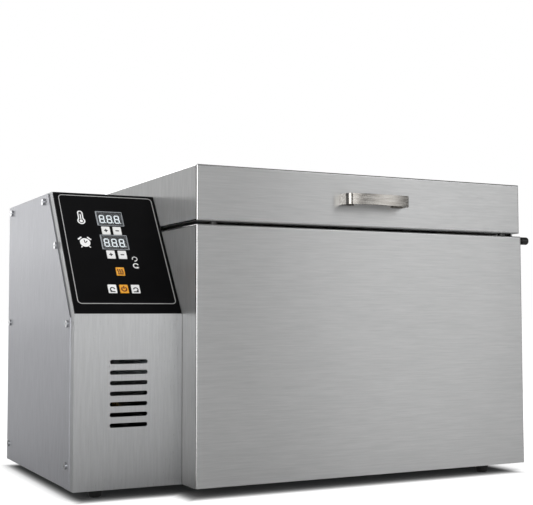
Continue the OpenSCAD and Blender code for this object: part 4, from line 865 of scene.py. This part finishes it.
HEAD_WING = 1.25           # an arrow's head spreads this many line widths to each side
HEAD_LONG = 1.5            # and is this many times as long


def arrow_head(u, s, r, width, start, end):
    """Arrow head at the end of an open ring."""
    turn = math.radians(end)
    way = 1.0 if end > start else -1.0
    out = Vector((math.cos(turn), math.sin(turn)))
    ahead = Vector((-out.y, out.x)) * way
    wing = width * HEAD_WING
    root = Vector((u, s)) + out * r
    return [root + out * wing, root - out * wing, root + ahead * wing * HEAD_LONG]


# Signs beside the timer: the drum turns forward, and turns back. Each is an open ring, with its
# place, radius and line width, and the angles of its tail and head
TURNS = {
    "forward_turn_sign": (84.3, 76.2, 2.9, 0.9, 200, -80),
    "reverse_turn_sign": (84.0, 66.4, 3.0, 1.4, 20, 290),
}
for name, (u, s, r, width, start, end) in TURNS.items():
    on_film(name, [arc_band(u, s, r - width / 2, r + width / 2, start, end)], white_ink)
    on_film(name + "_head", [arrow_head(u, s, r, width, start, end)], white_ink, HEAD_LAYER_MM)

# Grey frame line round each display window, wider at the left and on top
DISPLAY_U = 64.6
DISPLAY_ROWS = {"temperature": 134.8, "time": 99.8}
WINDOW_HALF_U = 15.6
WINDOW_HALF_S = 10.1
WINDOW_R = 0.5
RIM_LEFT = 1.3
RIM_TOP = 0.8
RIM_THIN = 0.5
RIM_R = 0.9
for name, s in DISPLAY_ROWS.items():
    left, right = DISPLAY_U - WINDOW_HALF_U, DISPLAY_U + WINDOW_HALF_U
    foot, top = s - WINDOW_HALF_S, s + WINDOW_HALF_S
    on_film(name + "_display_rim", [
        rounded(left - RIM_LEFT, foot - RIM_THIN, right + RIM_THIN, top + RIM_TOP, RIM_R),
        rounded(left, foot, right, top, WINDOW_R)], rim_ink)

# The keys' own signs
KEY_MID = 63.4
KEY_STEP = 13.8
TEMP_KEYS_S = 116.8
TIME_KEYS_S = 81.7
HEAT_KEY_S = 57.7
DRUM_KEYS_S = 33.3
KEY_SIGNS = {
    "key_temp_up": (KEY_MID - KEY_STEP / 2, TEMP_KEYS_S, "plus"),
    "key_temp_down": (KEY_MID + KEY_STEP / 2, TEMP_KEYS_S, "minus"),
    "key_time_up": (KEY_MID - KEY_STEP / 2, TIME_KEYS_S, "plus"),
    "key_time_down": (KEY_MID + KEY_STEP / 2, TIME_KEYS_S, "minus"),
    "key_heat": (KEY_MID, HEAT_KEY_S, "heat"),
    "key_reverse": (KEY_MID - KEY_STEP, DRUM_KEYS_S, "back"),
    "key_motor": (KEY_MID, DRUM_KEYS_S, "power"),
    "key_forward": (KEY_MID + KEY_STEP, DRUM_KEYS_S, "ahead"),
}
AMBER_KEYS = ("key_heat", "key_motor")
STROKE = 1.5
PLUS_LONG = 4.6
# Heat: three waves over a plate
WAVE_STEP = 2.5
WAVE_HIGH = 5.4
WAVE_SWAY = 0.5
WAVE_POINTS = 20
WAVES_UP = 0.6
PLATE_LONG = 7.4
PLATE_DOWN = 3.5
# Power: a ring that a bar opens at its top
POWER_R = 2.1
POWER_DOWN = 0.3
POWER_START, POWER_END = 124, 416
BAR_LONG = 4.2
BAR_UP = 2.0
# Turning arrows over a base line
TURN_R = 2.6
TURN_LINE = 1.4
TURN_DOWN = 1.0
BASE_LONG = 6.0
BASE_LINE = 1.3
BASE_DOWN = 3.9
AHEAD_ANGLES = (170, -30)
BACK_ANGLES = (10, 210)


def wave(u, s):
    """Upright wavy line of rising heat."""
    left, right = [], []
    for i in range(WAVE_POINTS + 1):
        sway = WAVE_SWAY * math.sin(2 * math.pi * i / WAVE_POINTS)
        up = s - WAVE_HIGH / 2 + WAVE_HIGH * i / WAVE_POINTS
        left.append((u - STROKE / 2 + sway, up))
        right.append((u + STROKE / 2 + sway, up))
    return left + right[::-1]


def key_shapes(sign, u, s):
    """Closed loops of one key's sign, drawn round the middle of its cap."""
    if sign == "plus":
        return [bar(u, s, PLUS_LONG, STROKE, 0), bar(u, s, PLUS_LONG, STROKE, 90)]
    if sign == "minus":
        return [bar(u, s, PLUS_LONG, STROKE, 0)]
    if sign == "heat":
        waves = [wave(u + aside, s + WAVES_UP) for aside in (-WAVE_STEP, 0, WAVE_STEP)]
        return waves + [bar(u, s - PLATE_DOWN, PLATE_LONG, STROKE, 0)]
    if sign == "power":
        ring = arc_band(u, s - POWER_DOWN, POWER_R, POWER_R + STROKE, POWER_START, POWER_END)
        return [ring, bar(u, s + BAR_UP, BAR_LONG, STROKE, 90)]
    start, end = AHEAD_ANGLES if sign == "ahead" else BACK_ANGLES
    ring = arc_band(u, s - TURN_DOWN, TURN_R - TURN_LINE / 2, TURN_R + TURN_LINE / 2, start, end)
    head = arrow_head(u, s - TURN_DOWN, TURN_R, BASE_LINE, start, end)
    return [ring, head, bar(u, s - BASE_DOWN, BASE_LONG, BASE_LINE, 0)]


for name, (u, s, sign) in KEY_SIGNS.items():
    sign_ink, slot = (brown_ink, "key_orange") if name in AMBER_KEYS else (black_ink, "panel_film")
    for i, shape in enumerate(key_shapes(sign, u, s)):
        printed(f"{name}_sign_{i + 1}", [shape], CAP_MM + LAYER_MM * i, name, sign_ink)
